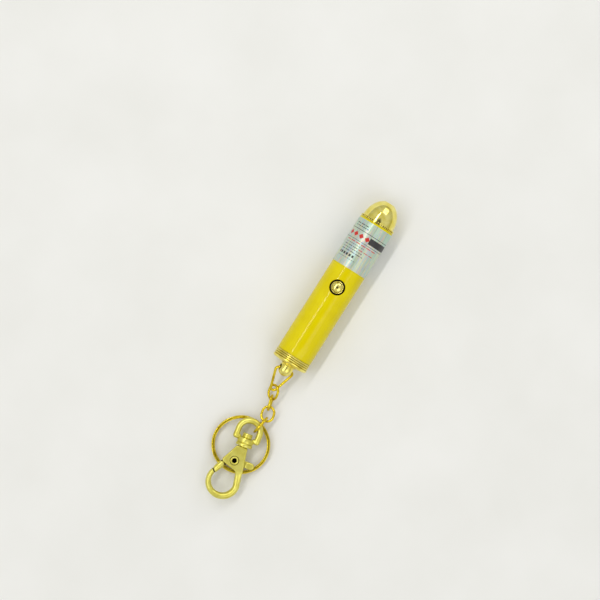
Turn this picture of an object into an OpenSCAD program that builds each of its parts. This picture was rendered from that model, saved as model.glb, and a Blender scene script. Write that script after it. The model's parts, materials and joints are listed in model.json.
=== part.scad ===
// Laser pointer keychain: a tube pointer with a screw-on tip and a screw cap,
// a triangular link, four chain links, a swivel trigger snap hook and a split key ring.
// It lies on the floor at z = 0, with the barrel along +Y and the tip at the far end.

/* [Cells] */
// Diameter of one button cell
cell_d = 11.6; // [10:0.1:14]
// Height of one button cell
cell_h = 5.4; // [4.8:0.1:6]
// Width of the step round a cell's negative face
cell_step = 0.8; // [0.5:0.1:1.2]
// Wall of the insulating sleeve round the cells
sleeve_wall = 0.17; // [0.12:0.01:0.3]

/* [Barrel] */
// Wall of the barrel tube
barrel_wall = 0.8; // [0.6:0.05:1.2]
// Length of the barrel tube
barrel_l = 57.3; // [55:0.1:66]
// Length of the foil label along the barrel
label_l = 18.6; // [12:0.1:20]
// Distance from the front end of the barrel to the label
label_inset = 0.7; // [0.4:0.1:2]
// Thickness of the foil label
label_t = 0.1; // [0.06:0.01:0.2]
// Angle left open at the label's seam, underneath
label_seam = 8; // [4:1:20]

/* [Tip] */
// Height of the tip
tip_h = 9.1; // [8.5:0.1:11]
// Height of the tip's flange
tip_flange_h = 1; // [0.6:0.1:1.6]
// Step from the flange in to the dome
tip_step = 0.45; // [0.3:0.05:0.7]
// Diameter of the tip's beam hole
aperture_d = 3.9; // [3:0.1:4.4]
// Diameter of the threaded nose under the tip
nose_d = 10.2; // [9.2:0.1:10.6]
// Length of the threaded nose
nose_l = 4.2; // [3.4:0.1:4.6]
// Thickness of the pattern film
film_t = 0.25; // [0.15:0.05:0.4]
// Diameter of the pattern film
film_d = 8.4; // [7.6:0.1:8.6]
// Height of the ring that holds the film
film_ring_h = 0.6; // [0.4:0.05:0.8]

/* [Laser module] */
// Length of the module inside the barrel
module_l = 17; // [15:0.1:19]
// Diameter of the diode's flange
diode_d = 5.6; // [5:0.1:6]
// Diameter of the lens
lens_d = 6.5; // [6:0.1:7.2]
// Thickness of the lens
lens_t = 2.4; // [2:0.1:3]
// Height of the ring that holds the lens
retainer_h = 1.8; // [1.2:0.1:2.4]

/* [Board and button] */
// Thickness of the circuit board
board_t = 1; // [0.8:0.1:1.4]
// Distance from the barrel's rear end to the button
button_s = 29.9; // [28:0.1:32]
// Diameter of the button
button_d = 4.9; // [4:0.1:5.6]
// Gap round the button in its hole
button_gap = 0.5; // [0.3:0.05:0.8]
// Height of the button above the barrel
button_proud = 0.6; // [0.3:0.05:1]
// Travel of the button
button_travel = 0.5; // [0.3:0.05:0.6]
// Width of the switch under the button
switch_w = 4.6; // [4:0.1:5]
// Height of the switch under the button
switch_h = 2.1; // [1.8:0.1:2.4]
// Diameter of the contact spring's wire
contact_wire = 0.5; // [0.4:0.05:0.6]
// Length of the contact spring
contact_l = 4; // [3.6:0.1:4.6]

/* [End cap] */
// How far the cap's rim stands out from the barrel
cap_rim = 0.18; // [0.05:0.01:0.4]
// Length of the cap's ringed flange
cap_l = 3.5; // [3:0.1:4.5]
// Length of the threaded plug inside the barrel
plug_l = 4; // [3:0.1:5]
// Depth of the ring grooves round the cap
groove_depth = 0.22; // [0.1:0.02:0.3]
// Diameter of the lug
lug_d = 5.2; // [4.8:0.1:6]
// Distance from the flange to the lug's cross hole
lug_reach = 2.3; // [2:0.1:3]
// Diameter of the lug's cross hole
lug_hole_d = 2.2; // [2:0.1:2.4]
// Turn of the cross hole about the barrel
lug_roll = 21; // [0:1:30]

/* [Chain] */
// Diameter of the triangle's wire
tri_wire = 1; // [0.8:0.05:1.1]
// Length of the triangle between wire centres
tri_l = 9.5; // [9:0.1:11]
// Gap beside the lug inside the triangle
tri_gap = 0.3; // [0.2:0.05:0.5]
// Bend radius of the triangle's corners
tri_bend = 1.2; // [1.15:0.05:1.4]
// Diameter of the chain's wire
link_wire = 0.95; // [0.8:0.05:1.1]
// Outer length of a chain link
link_l = 6.5; // [6:0.1:7.5]
// Outer width of a chain link
link_w = 5.4; // [5:0.1:5.8]
// Outer length of the joining link
join_l = 7.8; // [7.7:0.1:8.6]
// Outer width of the joining link
join_w = 7.6; // [7.5:0.1:8]
// Diameter of the joining link's wire
join_wire = 1; // [0.9:0.05:1.1]
// Gap between two wires that are linked
link_gap = 0.22; // [0.15:0.01:0.3]

/* [Snap hook] */
// Diameter of the swivel eye's bar
eye_bar = 2; // [1.7:0.05:2.2]
// Outer width of the swivel eye
eye_w = 9.9; // [9.6:0.1:10.4]
// Length of the eye's straight limbs
eye_limb = 2.95; // [2.6:0.05:3.4]
// Diameter of the eye's collar
collar_d = 6.2; // [5.8:0.1:6.4]
// Length of the eye's collar
collar_l = 3.2; // [2.8:0.1:3.6]
// Diameter of the swivel rivet
rivet_d = 2.4; // [2:0.1:2.8]
// Diameter of the swivel rivet's head
rivet_head_d = 3.6; // [3.2:0.1:4.2]
// Thickness of the hook's body
hook_t = 3.2; // [3:0.1:3.4]
// Thickness of the hook's bow
bow_t = 2.4; // [2:0.1:2.8]
// Inner diameter of the hook's bow
bow_d = 8.5; // [8:0.1:8.8]
// Width of the bow at its nose
nose_w = 1.9; // [1.6:0.1:2.1]
// Width of the bow at its shank
shank_w = 2.4; // [2.1:0.05:2.6]
// Thickness of the gate
gate_t = 1.4; // [1.1:0.1:1.5]
// Width of the slot that the gate moves in
slot_t = 1.7; // [1.6:0.05:1.8]
// Gap between the gate and the nose
gate_gap = 0.25; // [0.2:0.05:0.4]
// Outer diameter of the gate's hollow rivet
gate_rivet_d = 2.4; // [2.2:0.1:2.6]
// Thickness of the gate's leaf spring
leaf_t = 0.25; // [0.15:0.05:0.3]

/* [Key ring] */
// Outer diameter of the key ring
ring_d = 21.8; // [21:0.1:24]
// Radial width of the ring's strip
ring_w = 1.2; // [1:0.05:1.3]
// Thickness of the ring's strip
ring_t = 0.8; // [0.7:0.05:0.85]
// Gap between the ring's two turns
ring_gap = 0.45; // [0.42:0.01:0.5]

/* [Rest pose] */
// Turns of the triangle and the four links in plan
link_yaw = [0, 11, 16, 16, -10]; // [-40:0.5:40]
// Turns of the triangle and the four links about their own length
link_roll = [21, -41, 84, -2.5, 90]; // [-90:0.5:90]
// Slopes of the four links, down towards the hook
link_pitch = [20, 0, -8, 0]; // [-20:1:20]
// Turn of the hook in plan
hook_yaw = 11.2; // [0:0.1:20]
// Direction from the eye's centre to the joining link
eye_angle = 29; // [20:1:40]
// Turn of the key ring's centre line in plan
ring_yaw = -13; // [-20:1:0]

/* [Hidden] */
$fn = 64;

// Colours as the photograph shows them
yellow_paint = "#D3C80A";
gold_chrome = "#E2C648";
pale_gold = "#DED476";
chain_gold = "#E0B93A";
foil_silver = "#BECDC3";
brass = "#B5A642";
steel = "#C0C0C4";
board_green = "#2F6B3A";
black_plastic = "#202020";

// Clearances: a slip between nested pieces, a face gap between stacked ones
slip = 0.05;
face_gap = 0.03;
overcut = 1;

// Barrel and what fits in it
bore_d = cell_d + 2 * (sleeve_wall + 2 * slip);
barrel_d = bore_d + 2 * barrel_wall;
cap_d = barrel_d + 2 * cap_rim;
axis_z = cap_d / 2;
cell_pitch = cell_h + face_gap;
cells_s = plug_l + face_gap;
cells_end = cells_s + 3 * cell_pitch;
board_s = cells_end + contact_l;
module_s = barrel_l - module_l;
board_end = module_s - 0.5;

// Laser module, measured from its rear face
diode_bore_l = 4;
throat_d = 3;
throat_l = 4;
lens_seat = diode_bore_l + throat_l;
diode_inset = 0.3;
diode_flange_l = 1.2;
diode_can_d = diode_d - 2;
diode_can_l = 2.3;
pin_d = 0.44;
pin_pitch = 1.27;
pin_l = 3;

// Board, switch and button heights above the barrel's axis
board_top = 0.3;
board_low = board_top - board_t;
board_w = 2 * (sqrt(pow(bore_d / 2, 2) - pow(max(abs(board_top), abs(board_low)), 2)) - slip);
switch_top = board_top + face_gap + switch_h;
plunger_d = 2;
flange_d = button_d + 2.2;
flange_t = 0.6;
flange_top = sqrt(pow(bore_d / 2, 2) - pow(flange_d / 2, 2)) - 0.15;
flange_low = flange_top - flange_t;
button_top = barrel_d / 2 + button_proud;
crown_h = 0.9;
crown_r = (pow(button_d / 2, 2) + pow(crown_h, 2)) / (2 * crown_h);
resistor = [1.25, 2, 0.55];

// Tip, measured from the barrel's front end
tip_base = face_gap;
flange_r = barrel_d / 2 - slip;
dome_r = flange_r - tip_step;
dome_end = acos(aperture_d / 2 / dome_r);
dome_h = (tip_h - tip_flange_h) / sin(dome_end);
thread_bore_d = nose_d + 2 * slip;
thread_depth = nose_l + 0.15;
film_seat = thread_depth + film_ring_h + film_t + 3 * face_gap;
throat_top_d = aperture_d + 3;

// Cap, measured from the barrel's rear end, towards the chain
hole_s = -(cap_l + lug_reach);
edge_r = 1;
grooves = 3;
bulge = 0.6;

// Contact spring
contact_turns = 4;
contact_big_r = 3.2;
contact_small_r = 2;

// A link runs along -Y from its first wire centre: yaw in plan, pitch down, roll about its length
function along(yaw, pitch) = [sin(yaw) * cos(pitch), -cos(yaw) * cos(pitch), -sin(pitch)];
function across(yaw, pitch, roll) =
    let (x = cos(roll), y = sin(roll) * sin(pitch), z = -sin(roll) * cos(pitch))
    [x * cos(yaw) - y * sin(yaw), x * sin(yaw) + y * cos(yaw), z];
function pitch_of(from_z, to_z, l) = asin((from_z - to_z) / l);

// Lengths between wire centres, and steps between two linked wires
lug_hole = [0, hole_s, axis_z];
link_run = link_l - link_wire;
join_run = join_l - join_wire;
tri_step = (tri_wire + link_wire) / 2 + link_gap;
link_step = link_wire + link_gap;
join_step = (link_wire + join_wire) / 2 + link_gap;

// Where each link's first wire centre lies from the last link's end, in steps
seat_1 = [0.2, 1.65, 0.7];
seat_2 = [-0.06, 1.13, 0];
seat_3 = [-0.08, 1.06, 0];
seat_4 = [-0.21, 1.03, 0];

// Chain from the lug outwards: links 2 and 4 stand on the floor
vertex_z = link_w / 2 + 1.3;
link_z = (link_w - link_wire) / 2 * sin(link_roll[2]) + link_wire / 2;
join_z = join_w / 2;
tri_pitch = pitch_of(axis_z, vertex_z, tri_l);
vertex = lug_hole + tri_l * along(link_yaw[0], tri_pitch);
start_1 = vertex + tri_step * seat_1;
end_1 = start_1 + link_run * along(link_yaw[1], link_pitch[0]);
start_2 = [end_1[0], end_1[1], link_z] + link_step * seat_2;
end_2 = start_2 + link_run * along(link_yaw[2], link_pitch[1]);
start_3 = end_2 + link_step * seat_3;
end_3 = start_3 + link_run * along(link_yaw[3], link_pitch[2]);
start_4 = [end_3[0], end_3[1], join_z] + join_step * seat_4;
end_4 = start_4 + join_run * along(link_yaw[4], link_pitch[3]);

// Triangle outline: a belt round three circles of the bend radius
tri_half = lug_d / 2 + tri_gap + tri_wire / 2;
belt_x = tri_half - tri_bend;
belt_y = tri_l - 2 * tri_bend;
belt_angle = atan(belt_x / belt_y);
function belt_ring(x, y, a) = [for (j = [0 : 7])
    let (r = tri_bend + tri_wire / 2 * cos(45 * j))
    [x + r * cos(a), y + r * sin(a), tri_wire / 2 * sin(45 * j)]];
function belt_arc(x, y, from, sweep) = [for (i = [0 : 6]) belt_ring(x, y, from + sweep * i / 6)];
belt = concat(
    belt_arc(-belt_x, -tri_bend, 180 + belt_angle, -90 - belt_angle),
    belt_arc(belt_x, -tri_bend, 90, -90 - belt_angle),
    belt_arc(0, tri_bend - tri_l, -belt_angle, 2 * belt_angle - 180));

// Key ring: its near side lies on the joining link's wire, its far side on the floor
ring_h = 2 * ring_t + ring_gap;
ring_mid_r = (ring_d - ring_w) / 2;
ring_lift = join_wire + link_gap;
ring_cross = (start_4 + end_4) / 2;
ring_centre = ring_cross + ring_mid_r * along(ring_yaw, 0);
ring_tilt = asin(ring_lift / (ring_d - ring_w));
ring_jog = 24;
ring_lead = 10;
eye_clear = 0.4;
ring_rings = 48;
ring_start = 150;

// Swivel eye and hook: the hook's own frame has its origin at the gate's rivet
eye_r = (eye_w - eye_bar) / 2;
hook_z = ring_lift + ring_h + eye_bar / 2 + eye_clear;
bow_room = join_w / 2 - join_wire - eye_bar / 2 - link_gap;
bow_loss = bow_room - sqrt(pow(bow_room, 2) - pow(hook_z - join_z, 2));
eye_seat = eye_r - eye_bar / 2 - join_wire / 2 - link_gap - bow_loss;
eye_x = end_4[0] - eye_seat * cos(eye_angle);
eye_y = end_4[1] - eye_seat * sin(eye_angle);
bow_r = bow_d / 2;
hook_unit = bow_r / 4.25;
swivel_q = 1.2 * hook_unit;
eye_up = 11.95 * hook_unit;
collar_top = 2.75;
head_h = 1.7;
head_gap = 0.12;
neck_y = eye_up - collar_top - collar_l - 0.25;
rivet_depth = 1.9;
pivot_x = eye_x - swivel_q * cos(hook_yaw) + eye_up * sin(hook_yaw);
pivot_y = eye_y - swivel_q * sin(hook_yaw) - eye_up * cos(hook_yaw);

// Bow: an outer circle set off from the inner one, so that the nose is the slimmer side
bow_x = -1.5 * hook_unit;
bow_y = -8.7 * hook_unit;
outer_r = bow_r + (nose_w + shank_w) / 2;
outer_x = bow_x + (shank_w - nose_w) / 2;
outer_y = bow_y - 0.2 * hook_unit;
nose_angle = 149;
nose_dir = [cos(nose_angle), sin(nose_angle)];
nose_mid = [bow_x, bow_y] + (bow_r + nose_w / 2) * nose_dir;
nose_side = -nose_mid / norm(nose_mid);
face_dir = [-nose_side[1], nose_side[0]];
gate_hub_r = 1.9 * hook_unit;
pad_t = 2.6;
pad_x = 4.8 * hook_unit;
pad_end = 7.6 * hook_unit;
pad_w = 2.8 * hook_unit;
flare_d = gate_rivet_d + 0.7;
flare_t = 0.35;
rivet_hole_d = gate_rivet_d - 0.7;

// Origin: under the middle of the lying object, which the key ring makes widest
tip_end = barrel_l + tip_h;
hook_end = pivot_y + outer_x * sin(hook_yaw) + outer_y * cos(hook_yaw) - outer_r;
origin = [ring_centre[0], (tip_end + hook_end) / 2, 0];

// Placing of pieces
module placed() translate(-origin) children();
module on_axis(s) placed() translate([0, s, axis_z]) children();
module turned(s) on_axis(s) rotate([-90, 0, 0]) rotate_extrude() children();
module link_at(start, i, pitch) placed() translate(start)
    rotate([0, 0, link_yaw[i]]) rotate([pitch, 0, 0]) rotate([0, link_roll[i], 0]) children();
module hook_at() placed() translate([pivot_x, pivot_y, hook_z]) rotate([0, 0, hook_yaw]) children();
module eye_at() hook_at() translate([swivel_q, eye_up, 0]) children();
module slab(t) translate([0, 0, -t / 2]) linear_extrude(t) children();

// Half profile of a plain ring or disc, from radius r0 to r1 and height z0 to z1
module band(r0, r1, z0, z1) translate([r0, z0]) square([r1 - r0, z1 - z0]);

// A round wire bent to an arc, and a straight stretch along -Y
module bend(r, from, sweep, d) rotate([0, 0, from]) rotate_extrude(angle = sweep) translate([r, 0]) circle(d = d);
module stretch(l, d) rotate([90, 0, 0]) cylinder(h = l, d = d);

// An oval link from its first wire centre at the origin
module oval(l, w, d) {
    r = (w - d) / 2;
    translate([0, -r, 0]) bend(r, 0, 180, d);
    translate([0, r + d - l, 0]) bend(r, 180, 180, d);
    for (side = [-r, r]) translate([side, -r, 0]) stretch(l - w, d);
}

// A tube swept along rings of corners, either closed to a loop or with a cap at each end
module swept(rings, loop = false) {
    n = len(rings);
    k = len(rings[0]);
    points = [for (ring = rings) each ring];
    sides = [for (i = [0 : n - (loop ? 1 : 2)], j = [0 : k - 1])
        let (a = i * k + j, b = i * k + (j + 1) % k, c = (b + k) % (n * k), d = (a + k) % (n * k))
        each [[a, c, b], [a, d, c]]];
    last = (n - 1) * k;
    caps = [for (j = [1 : k - 2]) each [[0, j, j + 1], [last, last + j + 1, last + j]]];
    polyhedron(points = points, faces = loop ? sides : concat(sides, caps));
}

// Corners of one ring of a round wire whose path climbs along +Z round the axis
function wire_ring(r, angle, z, d, sides) = [for (j = [0 : sides - 1])
    let (u = 360 * j / sides, x = r + d / 2 * cos(u))
    [x * cos(angle), x * sin(angle), z - d / 2 * sin(u)]];

// Least distance between turns of the two coils, which both climb one step each turn
contact_pitch = (contact_l - contact_wire - 2 * face_gap) / contact_turns;
contact_lean = (contact_big_r - contact_small_r) / contact_turns;
contact_rings = 8 * contact_turns;
function contact_mid(i) =
    let (f = i / contact_rings)
    [contact_small_r + f * (contact_big_r - contact_small_r), 360 * contact_turns * f,
     contact_wire / 2 + face_gap + f * contact_turns * contact_pitch];
function spot(m) = [m[0] * cos(m[1]), m[0] * sin(m[1]), m[2]];
contact_spots = [for (i = [0 : contact_rings]) spot(contact_mid(i))];
contact_free = min([for (i = [0 : contact_rings - 6], j = [i + 6 : contact_rings])
    norm(contact_spots[i] - contact_spots[j])]) - contact_wire;
echo("contact spring, least gap to itself", contact_free);

// Key ring's path: one level turn, a jog up and a second level turn
ring_pitch = ring_t + ring_gap;
ring_span = 720 - ring_jog - 2 * ring_lead;
function jog_rise(a) = ring_pitch * max(0, min(1, (a - 360 + ring_lead + ring_jog) / ring_jog));
function ring_mid(i) = let (a = ring_span * i / (2 * ring_rings)) [ring_mid_r, ring_start + a, ring_t / 2 + jog_rise(a)];
ring_spots = [for (i = [0 : 2 * ring_rings]) spot(ring_mid(i))];
ring_free = min([for (i = [0 : 2 * ring_rings - 6], j = [i + 6 : 2 * ring_rings])
    let (d = ring_spots[i] - ring_spots[j])
    max(abs(d[2]) - ring_t, norm([d[0], d[1]]) - ring_w)]);
echo("key ring, least gap to itself", ring_free);

// Corners of one ring of the flat strip, with its edges taken off
strip_edge = 0.2;
function strip_ring(m) = [for (c = [
    [-1, -1, 0, 1], [-1, 1, 0, -1], [-1, 1, 1, 0], [1, 1, -1, 0],
    [1, 1, 0, -1], [1, -1, 0, 1], [1, -1, -1, 0], [-1, -1, 1, 0]])
    let (x = m[0] + c[0] * ring_w / 2 + c[2] * strip_edge, z = m[2] + c[1] * ring_t / 2 + c[3] * strip_edge)
    [x * cos(m[1]), x * sin(m[1]), z]];

// Pointer
module barrel() color(yellow_paint) difference() {
    turned(0) band(bore_d / 2, barrel_d / 2, 0, barrel_l);
    on_axis(button_s) cylinder(h = barrel_d, d = button_d + 2 * button_gap);
}

module foil_label() color(foil_silver)
    on_axis(barrel_l - label_inset - label_l) rotate([-90, 90 + label_seam / 2, 0])
        rotate_extrude(angle = 360 - label_seam)
            band(barrel_d / 2 + face_gap, barrel_d / 2 + face_gap + label_t, 0, label_l);

module tip_shell() color(gold_chrome) turned(barrel_l) polygon(concat(
    [[thread_bore_d / 2, tip_base], [flange_r, tip_base], [flange_r, tip_flange_h], [dome_r, tip_flange_h]],
    [for (i = [1 : 15])
        let (a = dome_end * i / 15)
        [dome_r * cos(a), tip_flange_h + dome_h * sin(a)]],
    [[aperture_d / 2, film_seat + dome_h / 4], [throat_top_d / 2, film_seat], [film_d / 2 + slip, film_seat],
     [film_d / 2 + slip, thread_depth], [thread_bore_d / 2, thread_depth]]));

module pattern_film() color(black_plastic)
    turned(barrel_l + film_seat - face_gap - film_t) band(0, film_d / 2, 0, film_t);

module film_ring() color(black_plastic)
    turned(barrel_l + film_seat - 2 * face_gap - film_t - film_ring_h)
        band(throat_top_d / 2, film_d / 2, 0, film_ring_h);

module module_housing() color(brass) turned(module_s) polygon([
    [diode_d / 2 + slip, 0], [bore_d / 2 - slip, 0], [bore_d / 2 - slip, module_l], [nose_d / 2, module_l],
    [nose_d / 2, module_l + nose_l], [lens_d / 2 + slip, module_l + nose_l], [lens_d / 2 + slip, lens_seat],
    [throat_d / 2, lens_seat], [throat_d / 2, diode_bore_l], [diode_d / 2 + slip, diode_bore_l]]);

module collimating_lens() color("#D8E4EA") turned(module_s + lens_seat + face_gap) intersection() {
    band(0, lens_d / 2, 0, lens_t);
    translate([0, lens_t - lens_d]) circle(r = lens_d);
}

module lens_retainer() color(brass) turned(module_s + lens_seat + lens_t + 2 * face_gap)
    band(lens_d / 2 - 1, lens_d / 2, 0, retainer_h);

module laser_diode() color(steel) {
    turned(module_s + diode_inset) {
        band(0, diode_d / 2, 0, diode_flange_l);
        band(0, diode_can_d / 2, 0, diode_flange_l + diode_can_l);
    }
    for (x = [-pin_pitch, 0, pin_pitch])
        on_axis(module_s + diode_inset + diode_flange_l / 2)
            translate([x, 0, board_top + face_gap + pin_d / 2]) stretch(pin_l, pin_d);
}

module circuit_board() color(board_green) on_axis(board_s)
    translate([-board_w / 2, 0, board_low]) cube([board_w, board_end - board_s, board_t]);

module tactile_switch() color(black_plastic) on_axis(button_s) difference() {
    translate([-switch_w / 2, -switch_w / 2, board_top + face_gap]) cube([switch_w, switch_w, switch_h]);
    translate([0, 0, switch_top - button_travel - 0.2]) cylinder(h = switch_h, d = plunger_d + 4 * slip);
}

module switch_plunger() color(black_plastic) on_axis(button_s)
    translate([0, 0, switch_top - 0.1]) cylinder(h = flange_low - face_gap - switch_top + 0.1, d = plunger_d);

module series_resistor() color(black_plastic)
    on_axis((board_s + button_s - switch_w / 2 - resistor[1]) / 2)
    translate([-resistor[0] / 2, 0, board_top + face_gap]) cube(resistor);

module contact_spring() color(steel) on_axis(cells_end) rotate([-90, 0, 0])
    swept([for (i = [0 : contact_rings])
        let (m = contact_mid(i))
        wire_ring(m[0], m[1], m[2], contact_wire, 6)]);

module battery_sleeve() color("#E8E0C8")
    turned(cells_s) band(cell_d / 2 + slip, cell_d / 2 + slip + sleeve_wall, 0, 3 * cell_pitch);

module cell(i) color(steel) turned(cells_s + i * cell_pitch) {
    band(0, cell_d / 2, 0, cell_h - 0.5);
    band(0, cell_d / 2 - cell_step, 0, cell_h);
}
module cell_rear() cell(0);
module cell_middle() cell(1);
module cell_front() cell(2);

module button() color(gold_chrome) on_axis(button_s) {
    translate([0, 0, flange_low]) cylinder(h = flange_t, d = flange_d);
    intersection() {
        translate([0, 0, flange_low]) cylinder(h = button_top - flange_low, d = button_d);
        translate([0, 0, button_top - crown_r]) sphere(r = crown_r);
    }
    translate([0, 0, flange_low]) cylinder(h = button_top - crown_h - flange_low, d = button_d);
}

module end_cap() color(gold_chrome) difference() {
    union() {
        turned(0) difference() {
            union() {
                band(0, bore_d / 2 - slip, -cap_l, plug_l);
                band(0, cap_d / 2, edge_r - cap_l, -face_gap);
                band(0, cap_d / 2 - edge_r, -cap_l, -face_gap);
                translate([cap_d / 2 - edge_r, edge_r - cap_l]) intersection() {
                    circle(r = edge_r);
                    translate([0, -edge_r]) square(edge_r);
                }
                polygon([[0, -cap_l], [cap_d / 2 - 2 * edge_r, -cap_l], [lug_d / 2, -cap_l - bulge], [0, -cap_l - bulge]]);
            }
            for (i = [1 : grooves])
                translate([cap_d / 2, -i * (cap_l - edge_r) / grooves])
                    rotate(45) square(groove_depth * sqrt(2), center = true);
        }
        turned(0) {
            band(0, lug_d / 2, hole_s, -cap_l);
            intersection() {
                translate([0, hole_s]) circle(d = lug_d);
                translate([0, hole_s - lug_d]) square(lug_d);
            }
        }
    }
    placed() translate(lug_hole) rotate([0, lug_roll, 0]) rotate([0, 90, 0])
        cylinder(h = lug_d + overcut, d = lug_hole_d, center = true);
}

// Chain
module triangle_link() color(chain_gold) link_at(lug_hole, 0, tri_pitch) swept(belt, loop = true);
module chain_link_1() color(chain_gold) link_at(start_1, 1, link_pitch[0]) oval(link_l, link_w, link_wire);
module chain_link_2() color(chain_gold) link_at(start_2, 2, link_pitch[1]) oval(link_l, link_w, link_wire);
module chain_link_3() color(chain_gold) link_at(start_3, 3, link_pitch[2]) oval(link_l, link_w, link_wire);
module chain_link_4() color(chain_gold) link_at(start_4, 4, link_pitch[3]) oval(join_l, join_w, join_wire);

// Snap hook
module swivel_eye() color(pale_gold) difference() {
    union() {
        eye_at() bend(eye_r, 0, 180, eye_bar);
        for (side = [-eye_r, eye_r]) {
            eye_at() translate([side, 0, 0]) stretch(eye_limb, eye_bar);
            eye_at() translate([side, -eye_limb, 0]) sphere(d = eye_bar);
        }
        eye_at() translate([-eye_r, -eye_limb, 0]) rotate([0, 90, 0]) cylinder(h = 2 * eye_r, d = eye_bar - 0.1);
        eye_at() translate([0, -collar_top, 0]) stretch(collar_l, collar_d);
    }
    eye_at() translate([0, overcut, 0]) stretch(collar_top + collar_l + 2 * overcut, rivet_d + 2 * slip);
    eye_at() translate([0, -collar_top - 0.62 * collar_l, 0]) rotate([90, 0, 0]) rotate_extrude()
        translate([collar_d / 2, 0]) rotate(45) square(0.4, center = true);
    eye_at() stretch(collar_top, rivet_head_d + 4 * slip);
}

module swivel_rivet() color(pale_gold) eye_at() {
    translate([0, head_h + head_gap - collar_top, 0]) stretch(head_h, rivet_head_d);
    translate([0, head_gap - collar_top, 0]) stretch(eye_up - collar_top + head_gap - neck_y + rivet_depth, rivet_d);
}

module hook_outline() polygon([
    [swivel_q - 2.3 * hook_unit, neck_y], [swivel_q + 1.75 * hook_unit, neck_y], hook_unit * [4.05, -0.9],
    [outer_x + outer_r, outer_y], [bow_x + bow_r, bow_y], [bow_x + bow_r - 0.2 * hook_unit, bow_y + 1.5 * hook_unit],
    hook_unit * [1.6, -3.2], hook_unit * [-4.2, -1.4], hook_unit * [-4.55, -0.9]]);

module slot_outline() polygon(hook_unit * [
    [-9, 1.4], [-3, 1.4], [-0.6, 2.7], [1.4, 2.9], [4, 4.4], [9, 4.4],
    [9, -1.75], [1.75, -1.75], [1.2, -4.5], [-9, -4.5]]);

module hook_body() color(pale_gold) hook_at() difference() {
    union() {
        difference() {
            translate([outer_x, outer_y, -bow_t / 2]) cylinder(h = bow_t, r = outer_r);
            slab(2 * bow_t) polygon([
                [bow_x, bow_y], nose_mid - nose_w * face_dir, nose_mid + 2 * nose_w * face_dir,
                [bow_x, bow_y] + 2 * outer_r * [0, 1], [bow_x, bow_y] + 2 * outer_r * [cos(20), sin(20)]]);
        }
        intersection() {
            slab(hook_t) hook_outline();
            union() {
                translate([-2 * outer_r, -5 * hook_unit, -hook_t / 2]) cube([4 * outer_r, 4 * outer_r, hook_t]);
                translate([-2 * outer_r, bow_y - outer_r, -bow_t / 2]) cube([4 * outer_r, outer_r + 4 * hook_unit, bow_t]);
            }
        }
    }
    translate([bow_x, bow_y, -hook_t]) cylinder(h = 2 * hook_t, r = bow_r);
    slab(slot_t) slot_outline();
    cylinder(h = 2 * hook_t, d = gate_rivet_d + 2 * slip, center = true);
    translate([swivel_q, neck_y + overcut, 0]) stretch(rivet_depth + overcut + 0.1, rivet_d + 2 * slip);
}

// The gate's end face lies beside the nose's, one gap away
module gate() color(pale_gold) hook_at() difference() {
    union() {
        cylinder(h = gate_t, r = gate_hub_r, center = true);
        slab(gate_t) difference() {
            polygon(hook_unit * [
                [-0.6, 1.8], [-3.2, 0.7], [-4.9, -1.5], [-7.4, -7], [-5.75, -7.4], [-3.3, -3.15], [-1, -1.6]]);
            translate(nose_mid + gate_gap * nose_side) rotate(atan2(face_dir[1], face_dir[0]))
                translate([-4 * outer_r, 0]) square([8 * outer_r, 4 * outer_r]);
        }
        slab(gate_t) translate([1, -pad_w / 2]) square([pad_end - pad_w / 2 - 1, pad_w]);
        slab(pad_t) {
            translate([pad_x, -pad_w / 2]) square([pad_end - pad_w / 2 - pad_x, pad_w]);
            translate([pad_end - pad_w / 2, 0]) circle(d = pad_w);
        }
    }
    cylinder(h = 2 * gate_t, d = gate_rivet_d + 2 * slip, center = true);
}

module gate_rivet() color(pale_gold) hook_at() difference() {
    union() {
        cylinder(h = hook_t + 2 * face_gap, d = gate_rivet_d, center = true);
        for (side = [-1, 1])
            translate([0, 0, side * (hook_t / 2 + face_gap + flare_t / 2)])
                cylinder(h = flare_t, d = flare_d, center = true);
    }
    translate([0, 0, 0.4 - hook_t / 2]) cylinder(h = 2 * hook_t, d = rivet_hole_d);
}

module gate_spring() color(steel) hook_at() translate([0, 0, -gate_t / 2])
    rotate([0, 0, 62]) rotate_extrude(angle = 56)
        band(gate_hub_r + 0.15, gate_hub_r + 0.15 + leaf_t, 0, gate_t);

// Key ring
module split_ring() color(chain_gold)
    placed() translate([ring_centre[0], ring_centre[1], ring_w / 2 * sin(ring_tilt)])
        translate([0, -(ring_d - ring_w) / 2, 0]) rotate([ring_tilt, 0, 0]) translate([0, (ring_d - ring_w) / 2, 0])
            swept([for (i = [0 : 2 * ring_rings]) strip_ring(ring_mid(i))]);

// Joint places and axes, for the motion
echo("lug_hole", lug_hole - origin, across(link_yaw[0], tri_pitch, link_roll[0]));
echo("vertex", vertex - origin, across(link_yaw[0], tri_pitch, link_roll[0]));
echo("start_1", start_1 - origin);
echo("end_1", end_1 - origin, across(link_yaw[1], link_pitch[0], link_roll[1]));
echo("end_2", end_2 - origin, across(link_yaw[2], link_pitch[1], link_roll[2]));
echo("end_3", end_3 - origin, across(link_yaw[3], link_pitch[2], link_roll[3]));
echo("end_4", end_4 - origin, across(link_yaw[4], link_pitch[3], link_roll[4]));
echo("swivel", [eye_x, eye_y, hook_z] - origin, along(hook_yaw, 0));
echo("pivot", [pivot_x, pivot_y, hook_z] - origin);
echo("bow", [pivot_x + bow_x * cos(hook_yaw) - bow_y * sin(hook_yaw),
    pivot_y + bow_x * sin(hook_yaw) + bow_y * cos(hook_yaw), hook_z] - origin);
echo("button", [0, button_s, axis_z] - origin);
echo("ring", ring_centre - origin, ring_tilt);
echo("ring_cross", ring_cross - origin);
echo("ends", tip_end - origin[1], hook_end - origin[1]);

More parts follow.
